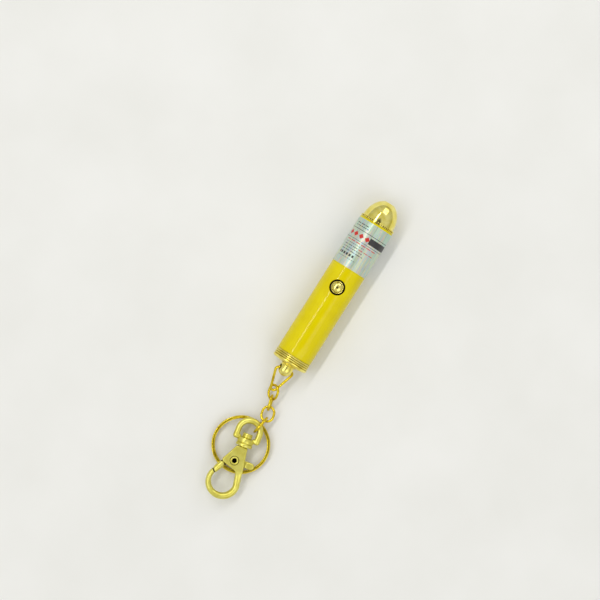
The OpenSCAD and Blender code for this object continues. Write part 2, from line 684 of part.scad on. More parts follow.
barrel();
foil_label();
tip_shell();
pattern_film();
film_ring();
module_housing();
collimating_lens();
lens_retainer();
laser_diode();
circuit_board();
tactile_switch();
switch_plunger();
series_resistor();
contact_spring();
battery_sleeve();
cell_rear();
cell_middle();
cell_front();
button();
end_cap();
triangle_link();
chain_link_1();
chain_link_2();
chain_link_3();
chain_link_4();
swivel_eye();
swivel_rivet();
hook_body();
gate();
gate_rivet();
gate_spring();
split_ring();
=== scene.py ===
# %% [markdown]
# Laser pointer keychain
# This lesson dresses a finished mechanical model in Blender. The frame holds the exact solids,
# already in place and in metres. Some of them only need a good material. Others, such as the bent
# wires and the cast hook, are modelled again here by hand, with softer edges than the solids have.

# %% Load the frame
import json
import math
import bpy
from mathutils import Matrix, Vector


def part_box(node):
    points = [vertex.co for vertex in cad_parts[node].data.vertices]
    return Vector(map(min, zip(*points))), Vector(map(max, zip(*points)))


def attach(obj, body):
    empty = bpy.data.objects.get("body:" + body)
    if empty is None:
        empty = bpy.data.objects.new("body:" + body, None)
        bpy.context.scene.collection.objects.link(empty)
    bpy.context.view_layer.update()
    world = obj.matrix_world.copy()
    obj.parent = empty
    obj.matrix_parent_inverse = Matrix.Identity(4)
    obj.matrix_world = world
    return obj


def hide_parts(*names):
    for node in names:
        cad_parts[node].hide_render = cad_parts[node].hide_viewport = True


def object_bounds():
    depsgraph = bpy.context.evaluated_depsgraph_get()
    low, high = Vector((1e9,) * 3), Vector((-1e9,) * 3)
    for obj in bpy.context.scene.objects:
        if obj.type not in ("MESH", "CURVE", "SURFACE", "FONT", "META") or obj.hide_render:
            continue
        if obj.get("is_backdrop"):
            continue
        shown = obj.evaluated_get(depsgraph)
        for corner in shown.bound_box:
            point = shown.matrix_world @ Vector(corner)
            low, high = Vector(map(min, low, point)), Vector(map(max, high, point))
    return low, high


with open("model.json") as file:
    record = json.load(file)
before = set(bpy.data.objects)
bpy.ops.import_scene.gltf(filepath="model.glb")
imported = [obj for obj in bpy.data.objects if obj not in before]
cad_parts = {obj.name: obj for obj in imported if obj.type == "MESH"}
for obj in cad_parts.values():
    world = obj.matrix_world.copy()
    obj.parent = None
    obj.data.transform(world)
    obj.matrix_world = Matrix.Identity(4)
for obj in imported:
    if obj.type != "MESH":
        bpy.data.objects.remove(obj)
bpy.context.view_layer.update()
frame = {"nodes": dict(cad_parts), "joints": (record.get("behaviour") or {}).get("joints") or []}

MM = 0.001
joints = {joint["name"]: joint for joint in frame["joints"]}
nodes = frame["nodes"]

# %% [markdown]
# Camera
# The picture was taken from straight above, so the camera looks straight down on the object. A long
# lens keeps the barrel's sides parallel, as they are in the picture. One millimetre is 2.71 pixels
# of a picture 600 pixels wide, which sets the width of the view.

# %% Camera above the object
PICTURE_PX = 600
PX_PER_MM = 2.71
VIEW_CENTRE = (-10.06, 15.38)
VIEW_TURN = 32.26
CAMERA_HEIGHT = 1200
SUBJECT_HEIGHT = 7
SENSOR = 36
view_width = PICTURE_PX / PX_PER_MM

bpy.ops.object.select_all(action="DESELECT")
bpy.ops.object.camera_add(
    location=(VIEW_CENTRE[0] * MM, VIEW_CENTRE[1] * MM, CAMERA_HEIGHT * MM),
    rotation=(0, 0, math.radians(VIEW_TURN)))
camera = bpy.context.active_object
camera.data.sensor_width = SENSOR
camera.data.lens = SENSOR * (CAMERA_HEIGHT - SUBJECT_HEIGHT) / view_width
bpy.context.scene.camera = camera
bpy.context.scene.view_settings.view_transform = "Standard"
print("camera lens", round(camera.data.lens, 1), "mm, view", round(view_width, 1), "mm wide")

# %% [markdown]
# Colours and nodes
# Colours are written as sRGB hex values, as a colour picker shows them, and turned to the linear
# values that a shader works with. One small function adds a node, sets it up and links it, so that
# each material below reads as a list of what feeds what.

# %% Colour and node helpers
def linear(hex_value, alpha=1.0):
    parts = [int(hex_value[i:i + 2], 16) / 255 for i in (1, 3, 5)]
    return [p / 12.92 if p <= 0.04045 else ((p + 0.055) / 1.055) ** 2.4 for p in parts] + [alpha]


def add_node(tree, kind, feeds=None, stops=None, **settings):
    made = tree.nodes.new(kind)
    for key, value in settings.items():
        setattr(made, key, value)
    for socket, value in (feeds or {}).items():
        if isinstance(value, bpy.types.NodeSocket):
            tree.links.new(value, made.inputs[socket])
        else:
            made.inputs[socket].default_value = value
    for i, (place, colour) in enumerate(stops or []):
        points = made.color_ramp.elements
        point = points[i] if i < len(points) else points.new(place)
        point.position = place
        point.color = colour
    return made


def new_finish(name, **sockets):
    finish = bpy.data.materials.new(name)
    finish.use_nodes = True
    tree = finish.node_tree
    tree.nodes.clear()
    shader = add_node(tree, "ShaderNodeBsdfPrincipled", sockets)
    add_node(tree, "ShaderNodeOutputMaterial", {"Surface": shader.outputs[0]})
    place = add_node(tree, "ShaderNodeTexCoord").outputs["Object"]
    return finish, tree, shader, place


print("helpers ready; white is", linear("#FFFFFF"))

# %% [markdown]
# Floor, world and lamps
# A plain pale floor and soft light show a small shiny thing best. The world is a bright ring
# overhead, darker near the horizon and darker again right above, where a real camera would stand in
# its own light. That dark middle is what a polished dome shows. The main lamp is a long narrow strip
# to the left of the barrel and in line with it, because a glossy tube then shows one narrow bright
# line, from above and from the sides.

# %% Floor
FLOOR_SIZE = 3
FIBRE = 40
bpy.ops.object.select_all(action="DESELECT")
bpy.ops.mesh.primitive_plane_add(size=FLOOR_SIZE)
floor = bpy.context.active_object
floor.name = "floor"
# Uncoated paper: quite matt, with only a faint change of tone every few centimetres
paper, tree, shader, place = new_finish("matt_backdrop_paper", Roughness=0.9)
fibre = add_node(tree, "ShaderNodeTexNoise", {"Vector": place, "Scale": 1 / (FIBRE * MM), "Detail": 3.0})
tint = add_node(tree, "ShaderNodeValToRGB", {0: fibre.outputs[0]},
                [(0.3, linear("#E6E6E2")), (0.7, linear("#EBEBE8"))])
tree.links.new(tint.outputs[0], shader.inputs["Base Color"])
floor.data.materials.append(paper)
floor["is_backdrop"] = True
print("floor", floor.dimensions[:])

# %% World and lamps
SKY_STRENGTH = 0.68
world = bpy.data.worlds.new("studio")
bpy.context.scene.world = world
world.use_nodes = True
tree = world.node_tree
tree.nodes.clear()
direction = add_node(tree, "ShaderNodeTexCoord").outputs["Generated"]
height = add_node(tree, "ShaderNodeSeparateXYZ", {0: direction})
sky = add_node(tree, "ShaderNodeValToRGB", {0: height.outputs[2]}, [
    (0.0, linear("#DCDCDB")), (0.3, linear("#ECECE9")), (0.55, linear("#FFFEFA")),
    (0.945, linear("#FFFEFA")), (0.985, linear("#707070")), (1.0, linear("#505050"))])
sky_light = add_node(tree, "ShaderNodeBackground", {"Color": sky.outputs[0], "Strength": SKY_STRENGTH})
add_node(tree, "ShaderNodeOutputWorld", {"Surface": sky_light.outputs[0]})

# Each lamp: name, place, length, width and power
LAMPS = [
    ("key", (-395, 10, 870), 1500, 70, 3.6),
    ("fill", (520, -260, 760), 600, 600, 1.2),
    ("back", (60, 700, 420), 400, 400, 0.9),
]
for name, spot, length, width, watts in LAMPS:
    bpy.ops.object.select_all(action="DESELECT")
    bpy.ops.object.light_add(type="AREA", location=Vector(spot) * MM)
    lamp = bpy.context.active_object
    lamp.name = name
    lamp.data.shape = "RECTANGLE"
    lamp.data.size = length * MM
    lamp.data.size_y = width * MM
    lamp.data.energy = watts
    lamp.rotation_mode = "QUATERNION"
    lamp.rotation_quaternion = (-Vector(spot)).to_track_quat("-Z", "Y")
print("lamps:", [lamp[0] for lamp in LAMPS])

# %% [markdown]
# Plated finishes
# Nearly everything here is plated metal. Plating over polished brass is almost a mirror, plating over
# tumbled wire is softer, and plating over a zinc casting is softer still, with the fine pebbled skin
# of the mould. One recipe serves them all, with the grain size and depth of each in millimetres.

# %% Recipe of a plated finish
barrel_low, barrel_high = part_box("barrel")
AXIS_X = (barrel_low.x + barrel_high.x) / 2
AXIS_Z = (barrel_low.z + barrel_high.z) / 2
CLOUD = 2.5


def metal_finish(name, light, deep, rough_low, rough_high, grain_mm, bump_mm, turned=False):
    finish, tree, shader, place = new_finish(name, Metallic=1.0)
    cloud = add_node(tree, "ShaderNodeTexNoise",
                     {"Vector": place, "Scale": 1 / (CLOUD * MM), "Detail": 4.0})
    colour = add_node(tree, "ShaderNodeValToRGB", {0: cloud.outputs[0]},
                      [(0.35, linear(deep)), (0.62, linear(light))])
    tree.links.new(colour.outputs[0], shader.inputs["Base Color"])
    if turned:
        # The marks of a lathe run round the axis: they change only with the way along it and out from it
        centred = add_node(tree, "ShaderNodeVectorMath",
                           {0: place, 1: (AXIS_X, 0, AXIS_Z)}, operation="SUBTRACT")
        flat = add_node(tree, "ShaderNodeVectorMath",
                        {0: centred.outputs[0], 1: (1, 0, 1)}, operation="MULTIPLY")
        out = add_node(tree, "ShaderNodeVectorMath", {0: flat.outputs[0]}, operation="LENGTH")
        axes = add_node(tree, "ShaderNodeSeparateXYZ", {0: place})
        lathe = add_node(tree, "ShaderNodeCombineXYZ", {0: out.outputs[1], 1: axes.outputs[1]})
        place = lathe.outputs[0]
    grain = add_node(tree, "ShaderNodeTexNoise",
                     {"Vector": place, "Scale": 1 / (grain_mm * MM), "Detail": 3.0})
    rough = add_node(tree, "ShaderNodeMapRange",
                     {0: grain.outputs[0], 1: 0.3, 2: 0.7, 3: rough_low, 4: rough_high})
    tree.links.new(rough.outputs[0], shader.inputs["Roughness"])
    relief = add_node(tree, "ShaderNodeBump",
                      {"Height": grain.outputs[0], "Strength": 0.6, "Distance": bump_mm * MM})
    tree.links.new(relief.outputs[0], shader.inputs["Normal"])
    return finish


print("barrel axis at", round(AXIS_X / MM, 2), round(AXIS_Z / MM, 2), "mm, clouds of", CLOUD, "mm")

# %% Gold plate in four grades, a dull gold for painted groove shade, and a dark finish for painted shade
# Turned brass, polished and flash plated: a near mirror with faint clouds
bright_gold = metal_finish("polished_gold_plate", "#F7EC8E", "#EAD95F", 0.06, 0.14, 0.8, 0.006)
# Plating over a finely turned surface: the same gold, more satin, with hairlines round it
satin_gold = metal_finish(
    "satin_turned_gold_plate", "#F6EA84", "#EAD85C", 0.2, 0.34, 0.22, 0.004, turned=True)
# Tumbled steel wire, plated: deep orange gold, bright where it is lit and brown where it is not
wire_gold = metal_finish("tumbled_gold_plated_wire", "#EAD23A", "#CFB21C", 0.16, 0.28, 0.5, 0.008)
# A plated zinc casting: pale lemon gold, satin, with a fine pebbled skin
cast_gold = metal_finish("satin_gold_plated_zinc", "#E8E074", "#DACF5C", 0.34, 0.44, 0.3, 0.007)
# Painted shade for the cap's grooves: a dull brown gold that draws out the fine grooves
groove_shade_gold = metal_finish("painted_groove_shade_plate", "#9A8434", "#7A6526", 0.3, 0.45, 0.3, 0.006)
# Painted shade: a dark brass put where shade falls in gaps, bores and grooves
painted_shade_brass = metal_finish("painted_dark_shade", "#4E4028", "#30261A", 0.4, 0.6, 0.3, 0.01)
grades = (bright_gold, satin_gold, wire_gold, cast_gold, groove_shade_gold, painted_shade_brass)
print("finishes:", [grade.name for grade in grades])

# %% [markdown]
# Barrel enamel
# The tube is sprayed with a glossy yellow enamel. Sprayed paint has a slight waviness about two
# millimetres across, which breaks up its highlights, and small clouds where the coat is thicker.
# Carried in a pocket, it also gets hairline scuffs along its length, which only show as a change of
# gloss.

# %% Yellow enamel
PAINT_CLOUD, SCUFF, PEEL, PEEL_DEEP = 6, 0.3, 2, 0.003
# Sprayed enamel: an even strong yellow under a clear gloss, so that a lamp shows as a sharp line
enamel, tree, shader, place = new_finish(
    "sprayed_yellow_enamel", **{"Specular IOR Level": 0.05, "Coat Weight": 0.38, "Coat Roughness": 0.05})
cloud = add_node(tree, "ShaderNodeTexNoise",
                 {"Vector": place, "Scale": 1 / (PAINT_CLOUD * MM), "Detail": 5.0})
colour = add_node(tree, "ShaderNodeValToRGB", {0: cloud.outputs[0]},
                  [(0.3, linear("#D8C500")), (0.7, linear("#E1D100"))])
tree.links.new(colour.outputs[0], shader.inputs["Base Color"])
drawn = add_node(tree, "ShaderNodeMapping", {0: place, 3: (1.0, 0.03, 1.0)})
scuff = add_node(tree, "ShaderNodeTexNoise",
                 {"Vector": drawn.outputs[0], "Scale": 1 / (SCUFF * MM), "Detail": 3.0})
rough = add_node(tree, "ShaderNodeMapRange", {0: scuff.outputs[0], 1: 0.35, 2: 0.7, 3: 0.2, 4: 0.38})
tree.links.new(rough.outputs[0], shader.inputs["Roughness"])
peel = add_node(tree, "ShaderNodeTexNoise", {"Vector": place, "Scale": 1 / (PEEL * MM), "Detail": 1.0})
relief = add_node(tree, "ShaderNodeBump",
                  {"Height": peel.outputs[0], "Strength": 0.1, "Distance": PEEL_DEEP * MM})
tree.links.new(relief.outputs[0], shader.inputs["Normal"])
print("enamel ready:", len(tree.nodes), "nodes")

# %% [markdown]
# Foil label
# The label is a strip of silver holographic foil wrapped round the tube. The pattern has to follow the
# wrap, so the nodes work out two measures from the place of each point: how far round the tube it is
# and how far along. A plain print of bars, lozenges and dashes is then cut from those two measures, in
# millimetres.

# %% Holographic foil
label_low, label_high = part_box("foil_label")
LABEL_R = (label_high.x - label_low.x) / 2

# Embossed foil: soft silver in pale rainbow streaks, its green tint a painted reflection of green
# surroundings
foil, tree, shader, place = new_finish("printed_holographic_foil")
centred = add_node(tree, "ShaderNodeVectorMath",
                   {0: place, 1: (AXIS_X, label_low.y, AXIS_Z)}, operation="SUBTRACT")
axes = add_node(tree, "ShaderNodeSeparateXYZ", {0: centred.outputs[0]})
angle = add_node(tree, "ShaderNodeMath", {0: axes.outputs[0], 1: axes.outputs[2]}, operation="ARCTAN2")
wrap = add_node(tree, "ShaderNodeMath", {0: angle.outputs[0], 1: LABEL_R / MM}, operation="MULTIPLY")
rise = add_node(tree, "ShaderNodeMath", {0: axes.outputs[1], 1: 1 / MM}, operation="MULTIPLY")
around, up = wrap.outputs[0], rise.outputs[0]

# Rainbow streaks run along the tube, so the pattern is stretched that way
wrapped = add_node(tree, "ShaderNodeCombineXYZ", {0: around, 1: up})
stretch = add_node(tree, "ShaderNodeMapping", {0: wrapped.outputs[0], 3: (1.2, 0.09, 1.0)})
streak = add_node(tree, "ShaderNodeTexNoise", {"Vector": stretch.outputs[0], "Scale": 1.0, "Detail": 4.0})
# The green in these tints is a painted reflection of green surroundings
rainbow = add_node(tree, "ShaderNodeValToRGB", {0: streak.outputs[0]}, [
    (0.25, linear("#8CAEA4")), (0.4, linear("#B2CCBA")), (0.47, linear("#D2DAB4")),
    (0.505, linear("#D8C2B2")), (0.54, linear("#A8C2D4")), (0.6, linear("#BCD8BE")),
    (0.8, linear("#9AB8A8"))])
print("foil of radius", round(LABEL_R / MM, 2), "mm in", len(rainbow.color_ramp.elements), "tints")


# %% Rows that break up a print
def inside(value, low, high):
    middle, reach = (low + high) / 2, (high - low) / 2
    off = add_node(tree, "ShaderNodeMath", {0: value, 1: middle}, operation="SUBTRACT")
    away = add_node(tree, "ShaderNodeMath", {0: off.outputs[0]}, operation="ABSOLUTE")
    close = add_node(tree, "ShaderNodeMath", {0: away.outputs[0], 1: reach}, operation="LESS_THAN")
    return close.outputs[0]


# A ping-pong node counts up and down round the tube: the part below a limit is one dash of a regular row
def dashes(period, dash):
    wave = add_node(tree, "ShaderNodeMath", {0: around, 1: period / 2}, operation="PINGPONG")
    short = add_node(tree, "ShaderNodeMath", {0: wave.outputs[0], 1: dash / 2}, operation="LESS_THAN")
    return short.outputs[0]


fine, broad, squares = dashes(0.9, 0.6), dashes(2.3, 1.9), dashes(1.3, 0.85)
# A lozenge is where the ways round and along from its middle add up to less than its reach
LOZENGE_PITCH, LOZENGE_ROW, LOZENGE_REACH = 2.6, 12.5, 1.05
column = add_node(tree, "ShaderNodeMath", {0: around, 1: LOZENGE_PITCH / 2}, operation="PINGPONG")
row_off = add_node(tree, "ShaderNodeMath", {0: up, 1: LOZENGE_ROW}, operation="SUBTRACT")
row = add_node(tree, "ShaderNodeMath", {0: row_off.outputs[0]}, operation="ABSOLUTE")
slope = add_node(tree, "ShaderNodeMath", {0: column.outputs[0], 1: row.outputs[0]}, operation="ADD")
near = add_node(tree, "ShaderNodeMath", {0: slope.outputs[0], 1: LOZENGE_REACH}, operation="LESS_THAN")
lozenge = near.outputs[0]
print("rows of dashes and squares, and lozenges every", LOZENGE_PITCH, "mm")

# %% Plain print in three inks
CHARCOAL, RED, GREY = linear("#2E2E30"), linear("#C8261E"), linear("#5F6668")
ALL_ROUND = 30.0
# Each print: colour, from and to along the label, from and to round it, and what breaks it up
PRINTS = [
    (CHARCOAL, 11.3, 13.7, 0.9, ALL_ROUND, None), (RED, 11.3, 13.7, -9.0, 0.9, lozenge),
    (CHARCOAL, 14.4, 14.6, -ALL_ROUND, ALL_ROUND, None),
    (CHARCOAL, 10.5, 10.65, -ALL_ROUND, ALL_ROUND, None),
    (CHARCOAL, 16.6, 16.9, -8.0, -2.0, broad), (CHARCOAL, 15.6, 15.9, -8.0, -1.2, fine),
    (RED, 9.6, 9.9, -8.0, 6.0, broad), (GREY, 8.6, 8.85, -8.0, 1.0, fine),
    (RED, 7.6, 7.85, -1.0, 6.0, broad), (GREY, 7.6, 7.9, -8.0, -1.0, broad),
    (GREY, 6.6, 6.9, -8.0, 1.5, fine), (GREY, 5.6, 5.9, -8.0, 2.0, broad),
    (CHARCOAL, 3.9, 4.8, -8.0, -0.8, squares), (GREY, 2.9, 3.1, -8.0, 0.6, fine)]
ink, colour = None, rainbow.outputs[0]
for shade, low, high, left, right, breaks in PRINTS:
    mark = inside(up, low, high)
    for limit in [inside(around, left, right)] + ([breaks] if breaks else []):
        mark = add_node(tree, "ShaderNodeMath", {0: mark, 1: limit}, operation="MULTIPLY").outputs[0]
    colour = add_node(tree, "ShaderNodeMix", {0: mark, 6: colour, 7: shade}, data_type="RGBA").outputs[2]
    ink = mark if ink is None else add_node(
        tree, "ShaderNodeMath", {0: ink, 1: mark}, operation="MAXIMUM").outputs[0]
print("plain marks:", len(PRINTS))

# %% Sheen of the label
# Ink is a dull film over the metal, so a printed point is no metal and the bare foil is half of one
tree.links.new(colour, shader.inputs["Base Color"])
metal = add_node(tree, "ShaderNodeMapRange", {0: ink, 3: 0.5, 4: 0.0})
tree.links.new(metal.outputs[0], shader.inputs["Metallic"])
rough = add_node(tree, "ShaderNodeMapRange", {0: streak.outputs[0], 1: 0.3, 2: 0.7, 3: 0.3, 4: 0.46})
tree.links.new(rough.outputs[0], shader.inputs["Roughness"])


def dress(piece, finish):
    if not piece.material_slots:
        piece.data.materials.append(finish)
    for slot in piece.material_slots:
        slot.material = finish


dress(nodes["foil_label"], foil)
print("label", round((label_high.y - label_low.y) / MM, 1), "mm long, dressed in", foil.name)

# %% [markdown]
# Turned pieces
# The tip, button, cap, collar and rivets are turned on a lathe. The way to model a turning by hand is
# to start with one ring of points and extrude it along its axis again and again, scaling each new
# ring to the radius of the profile there. A ring scaled to almost nothing is merged to one point,
# which closes a pole.

# %% Edit mode helpers
# Points closer together than this are one point
MERGE = 0.001 * MM
bpy.context.tool_settings.mesh_select_mode = (True, False, False)


def pick(piece):
    bpy.ops.object.select_all(action="DESELECT")
    bpy.context.view_layer.objects.active = piece
    piece.select_set(True)


def edit_all():
    bpy.ops.object.mode_set(mode="EDIT")
    bpy.ops.mesh.select_all(action="SELECT")


def leave_edit():
    bpy.ops.object.mode_set(mode="OBJECT")


def fresh(name, add, **size):
    bpy.ops.object.select_all(action="DESELECT")
    add(**size)
    piece = bpy.context.active_object
    piece.name = name
    piece.data.name = name
    bpy.ops.object.transform_apply(location=True, rotation=True, scale=True)
    return piece


def close_up(piece, smooth=38, merge=MERGE):
    pick(piece)
    edit_all()
    bpy.ops.mesh.remove_doubles(threshold=merge)
    bpy.ops.mesh.normals_make_consistent(inside=False)
    leave_edit()
    bpy.ops.object.shade_smooth_by_angle(angle=math.radians(smooth))


print("points closer than", MERGE / MM, "mm are merged")

# %% Lathe helper
# Radius of the ring that closes a pole, small enough to be merged to one point
POLE = 0.0004


def arc(centre, reach, start, end, steps):
    angles = [math.radians(start + (end - start) * i / steps) for i in range(steps + 1)]
    return [(centre[0] + reach[0] * math.cos(a), centre[1] + reach[1] * math.sin(a)) for a in angles]


def turn(name, profile, sides=72, smooth=38):
    radius, height = max(profile[0][0], POLE), profile[0][1]
    piece = fresh(name, bpy.ops.mesh.primitive_circle_add, vertices=sides,
                  radius=radius * MM, location=(0, 0, height * MM))
    edit_all()
    for next_radius, next_height in profile[1:]:
        next_radius = max(next_radius, POLE)
        bpy.ops.mesh.extrude_region_move(
            TRANSFORM_OT_translate={"value": (0, 0, (next_height - height) * MM)})
        grow = next_radius / radius
        bpy.ops.transform.resize(value=(grow, grow, 1), center_override=(0, 0, next_height * MM))
        radius, height = next_radius, next_height
    leave_edit()
    close_up(piece, smooth)
    return piece


print("lathe ready; a pole is a ring of", POLE, "mm before it is merged")


# %% Placing and finishing helpers
def put(piece, matrix):
    pick(piece)
    piece.matrix_world = matrix
    bpy.ops.object.transform_apply(location=True, rotation=True, scale=True)


def along_barrel(s_mm, flip=False):
    spot = Vector((AXIS_X, barrel_low.y + s_mm * MM, AXIS_Z))
    return Matrix.Translation(spot) @ Matrix.Rotation(math.radians(90 if flip else -90), 4, "X")


def finish_piece(piece, body, finish, slot, *stands_for):
    if not piece.material_slots:
        dress(piece, finish)
    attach(piece, body)
    if stands_for:
        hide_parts(*stands_for)
    print(piece.name, "on", body, len(piece.data.polygons), "faces")


print("turned pieces are placed from the barrel's rear end, at", round(barrel_low.y / MM, 2), "mm")

# %% [markdown]
# Tip
# The tip is a thin dome that screws on over the nose. Its mouth has a small rolled lip, and its foot is
# a flange with a fine knurl, which gives the fingers a grip. One tooth of the knurl is modelled, a
# small bevelled block, and copied round the flange.

# %% Domed tip
BARREL_L = (barrel_high.y - barrel_low.y) / MM
TIP_H = (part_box("tip_shell")[1].y - barrel_high.y) / MM
FLANGE_R, FLANGE_H, FLANGE_STEP = 6.8, 1.0, 0.3
DOME_R, MOUTH_R, DOME_STEPS = 6.37, 1.95, 24
NOSE_BORE, FILM_BORE, LIGHT_BORE = 5.15, 4.25, 3.45
NOSE_END, FILM_SEAT, THROAT = 4.35, 5.29, 7.4
JOINT_GAP = 0.03
dome_end = math.acos((MOUTH_R + 0.12) / DOME_R)
dome_h = (TIP_H - FLANGE_H - 0.02) / math.sin(dome_end)
dome = arc((0, FLANGE_H), (DOME_R, dome_h), 0, math.degrees(dome_end), DOME_STEPS)
lip = [(MOUTH_R + 0.06, TIP_H), (MOUTH_R, TIP_H - 0.06)]
inner = [(MOUTH_R, THROAT), (LIGHT_BORE, FILM_SEAT), (FILM_BORE, FILM_SEAT), (FILM_BORE, NOSE_END),
         (NOSE_BORE, NOSE_END), (NOSE_BORE, JOINT_GAP)]
foot = [(NOSE_BORE, JOINT_GAP), (FLANGE_R - 0.05, JOINT_GAP), (FLANGE_R, 0.08), (FLANGE_R, 0.18),
        (FLANGE_R - FLANGE_STEP, 0.22), (FLANGE_R - FLANGE_STEP, FLANGE_H - 0.1), (DOME_R, FLANGE_H - 0.06)]
tip = turn("tip_dome", foot + dome + lip + inner, sides=96)
put(tip, along_barrel(BARREL_L))
finish_piece(tip, "tip", bright_gold, "gold_chrome", "tip_shell")

# %% Knurl on the flange
TEETH = 48
TOOTH_DEEP, TOOTH_WIDE, TOOTH_HIGH, TOOTH_ROUND = 0.5, 0.48, 0.72, 0.12
TOOTH_AT, TOOTH_MID = FLANGE_R - 0.2, 0.56


def twin_of(piece):
    twin = piece.copy()
    twin.data = piece.data.copy()
    bpy.context.collection.objects.link(twin)
    return twin


def copies_round(piece, count):
    made = [piece]
    for i in range(1, count):
        twin = twin_of(piece)
        twin.data.transform(Matrix.Rotation(2 * math.pi * i / count, 4, "Z"))
        made.append(twin)
    pick(piece)
    for twin in made:
        twin.select_set(True)
    bpy.ops.object.join()
    return piece


tooth = fresh("tip_knurl", bpy.ops.mesh.primitive_cube_add, size=1,
              scale=(TOOTH_DEEP * MM, TOOTH_WIDE * MM, TOOTH_HIGH * MM),
              location=(TOOTH_AT * MM, 0, TOOTH_MID * MM))
edit_all()
bpy.ops.mesh.bevel(offset=TOOTH_ROUND * MM, segments=2)
leave_edit()
knurl = copies_round(tooth, TEETH)
put(knurl, along_barrel(BARREL_L))
finish_piece(knurl, "tip", bright_gold, "gold_chrome")

# %% [markdown]
# Button
# The button is a polished dome with a thin bead round it. Below the tube's skin a flange keeps it in.
# Its profile is turned about an upright axis, at the place that the frame gives. The faces below the
# bead get a second, dark finish: painted shade down in the gap.

# %% Push button
button_low, button_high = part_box("button")
button_spot = (button_low + button_high) / 2
BUTTON_TOP = (button_high.z - AXIS_Z) / MM
BUTTON_FOOT = (button_low.z - AXIS_Z) / MM
BUTTON_FLANGE = (button_high.x - button_low.x) / 2 / MM
BUTTON_R, BUTTON_FLANGE_T, SKIN_DROP = 2.32, 0.6, 1.25
CROWN_R, CROWN_H = 1.95, 1.0
crown_foot = BUTTON_TOP - CROWN_H
flange_top = BUTTON_FOOT + BUTTON_FLANGE_T
stem = [(0, BUTTON_FOOT), (BUTTON_FLANGE, BUTTON_FOOT), (BUTTON_FLANGE, flange_top), (BUTTON_R, flange_top)]
bead = [(BUTTON_R, crown_foot), (BUTTON_R - 0.05, crown_foot + 0.14), (BUTTON_R - 0.17, crown_foot + 0.2),
        (BUTTON_R - 0.29, crown_foot + 0.14), (BUTTON_R - 0.32, crown_foot)]
crown = arc((0, crown_foot), (CROWN_R, CROWN_H), 0, 90, 12)


def add_finish(piece, finish, is_there):
    if len(piece.material_slots) < 2:
        piece.data.materials.append(finish)
    for face in piece.data.polygons:
        if is_there(face.center):
            face.material_index = 1
    count = sum(face.material_index for face in piece.data.polygons)
    print(piece.name, "has", count, "faces of", finish.name)


button = turn("push_button_dome", stem + bead + crown)
put(button, Matrix.Translation((button_spot.x, button_spot.y, AXIS_Z)))
finish_piece(button, "push_button", bright_gold, "gold_chrome", "button")
# Faces below the bead are painted dark as shade in the gap round the button
add_finish(button, painted_shade_brass, lambda spot: spot.z < AXIS_Z + (BUTTON_TOP - SKIN_DROP) * MM)

# %% [markdown]
# End cap
# The cap is turned from bar: a threaded plug inside the tube, three fine rings, a rounded edge and a
# ball ended lug. The cross hole is drilled after turning, so here a cylinder is cut out of the lug
# with a Boolean modifier.

# %% Ringed cap with its lug
CAP_R, CAP_L, PLUG_R, PLUG_L, CAP_ROUND = 7.05, 3.5, 6.02, 4.0, 1
LUG_R, LUG_HOLE_R, LUG_ROLL = 2.6, 1.1, 21
RINGS, RING_FROM, RING_PITCH, RING_DEPTH, RING_STEPS = 3, 0.06, 0.72, 0.36, 8
THREAD_TURNS, THREAD_DEEP = 6, 0.28
lug_hole = Vector(joints["triangle_swing"]["pos_m"])
HOLE_Z = (barrel_low.y - lug_hole.y) / MM


def thread(radius, start, pitch, flank, land):
    points = []
    for i in range(THREAD_TURNS):
        root = start + i * pitch
        points += [(radius - THREAD_DEEP, root), (radius, root + flank), (radius, root + land)]
    return points


rings = []
for i in range(RINGS):
    for k in range(RING_STEPS):
        sunk = RING_DEPTH * (1 - math.sin(math.pi * k / RING_STEPS))
        rings.append((CAP_R - sunk, RING_FROM + i * RING_PITCH + RING_PITCH * k / RING_STEPS))
plug = [(0, -PLUG_L), (PLUG_R - 0.4, -PLUG_L)] + thread(PLUG_R, -PLUG_L + 0.3, 0.5, 0.2, 0.3) + [
    (PLUG_R - THREAD_DEEP, -0.7), (PLUG_R - THREAD_DEEP, -0.2), (PLUG_R, -0.1), (PLUG_R, JOINT_GAP)]
seat = [(CAP_R - RING_DEPTH, JOINT_GAP)]
last_groove = [(CAP_R - RING_DEPTH, RING_FROM + RINGS * RING_PITCH)]
edge = arc((CAP_R - CAP_ROUND, CAP_L - CAP_ROUND), (CAP_ROUND, CAP_ROUND), 0, 90, 8)
shoulder = [(4.6, CAP_L + 0.12), (3.4, CAP_L + 0.4), (LUG_R + 0.12, CAP_L + 0.66),
            (LUG_R - 0.08, CAP_L + 0.95), (LUG_R, CAP_L + 1.3)]
ball = arc((0, HOLE_Z), (LUG_R, LUG_R), 0, 90, 14)
cap = turn("ringed_end_cap", plug + seat + rings + last_groove + edge + shoulder + ball, sides=96)
put(cap, along_barrel(0, flip=True))
print("cap turned with", RINGS, "rings and", THREAD_TURNS, "turns of thread")

# %% Cross hole and painted groove shade
LUG_DRILL_L = 9
# A groove gets painted shade from this share of its depth down
GROOVE_SHADE_FROM = 0.65


def cut(piece, cutter, how="DIFFERENCE", smooth=38):
    pick(piece)
    step = piece.modifiers.new("cut", "BOOLEAN")
    step.operation = how
    step.solver = "EXACT"
    step.object = cutter
    bpy.ops.object.modifier_apply(modifier=step.name)
    bpy.data.objects.remove(cutter)
    bpy.ops.object.shade_smooth_by_angle(angle=math.radians(smooth))


def in_ring_groove(spot):
    below = (barrel_low.y - spot.y) / MM
    out = math.hypot(spot.x - AXIS_X, spot.z - AXIS_Z) / MM
    beside = RING_FROM - 0.01 < below < RING_FROM + RINGS * RING_PITCH + 0.02
    return beside and out < CAP_R - GROOVE_SHADE_FROM * RING_DEPTH


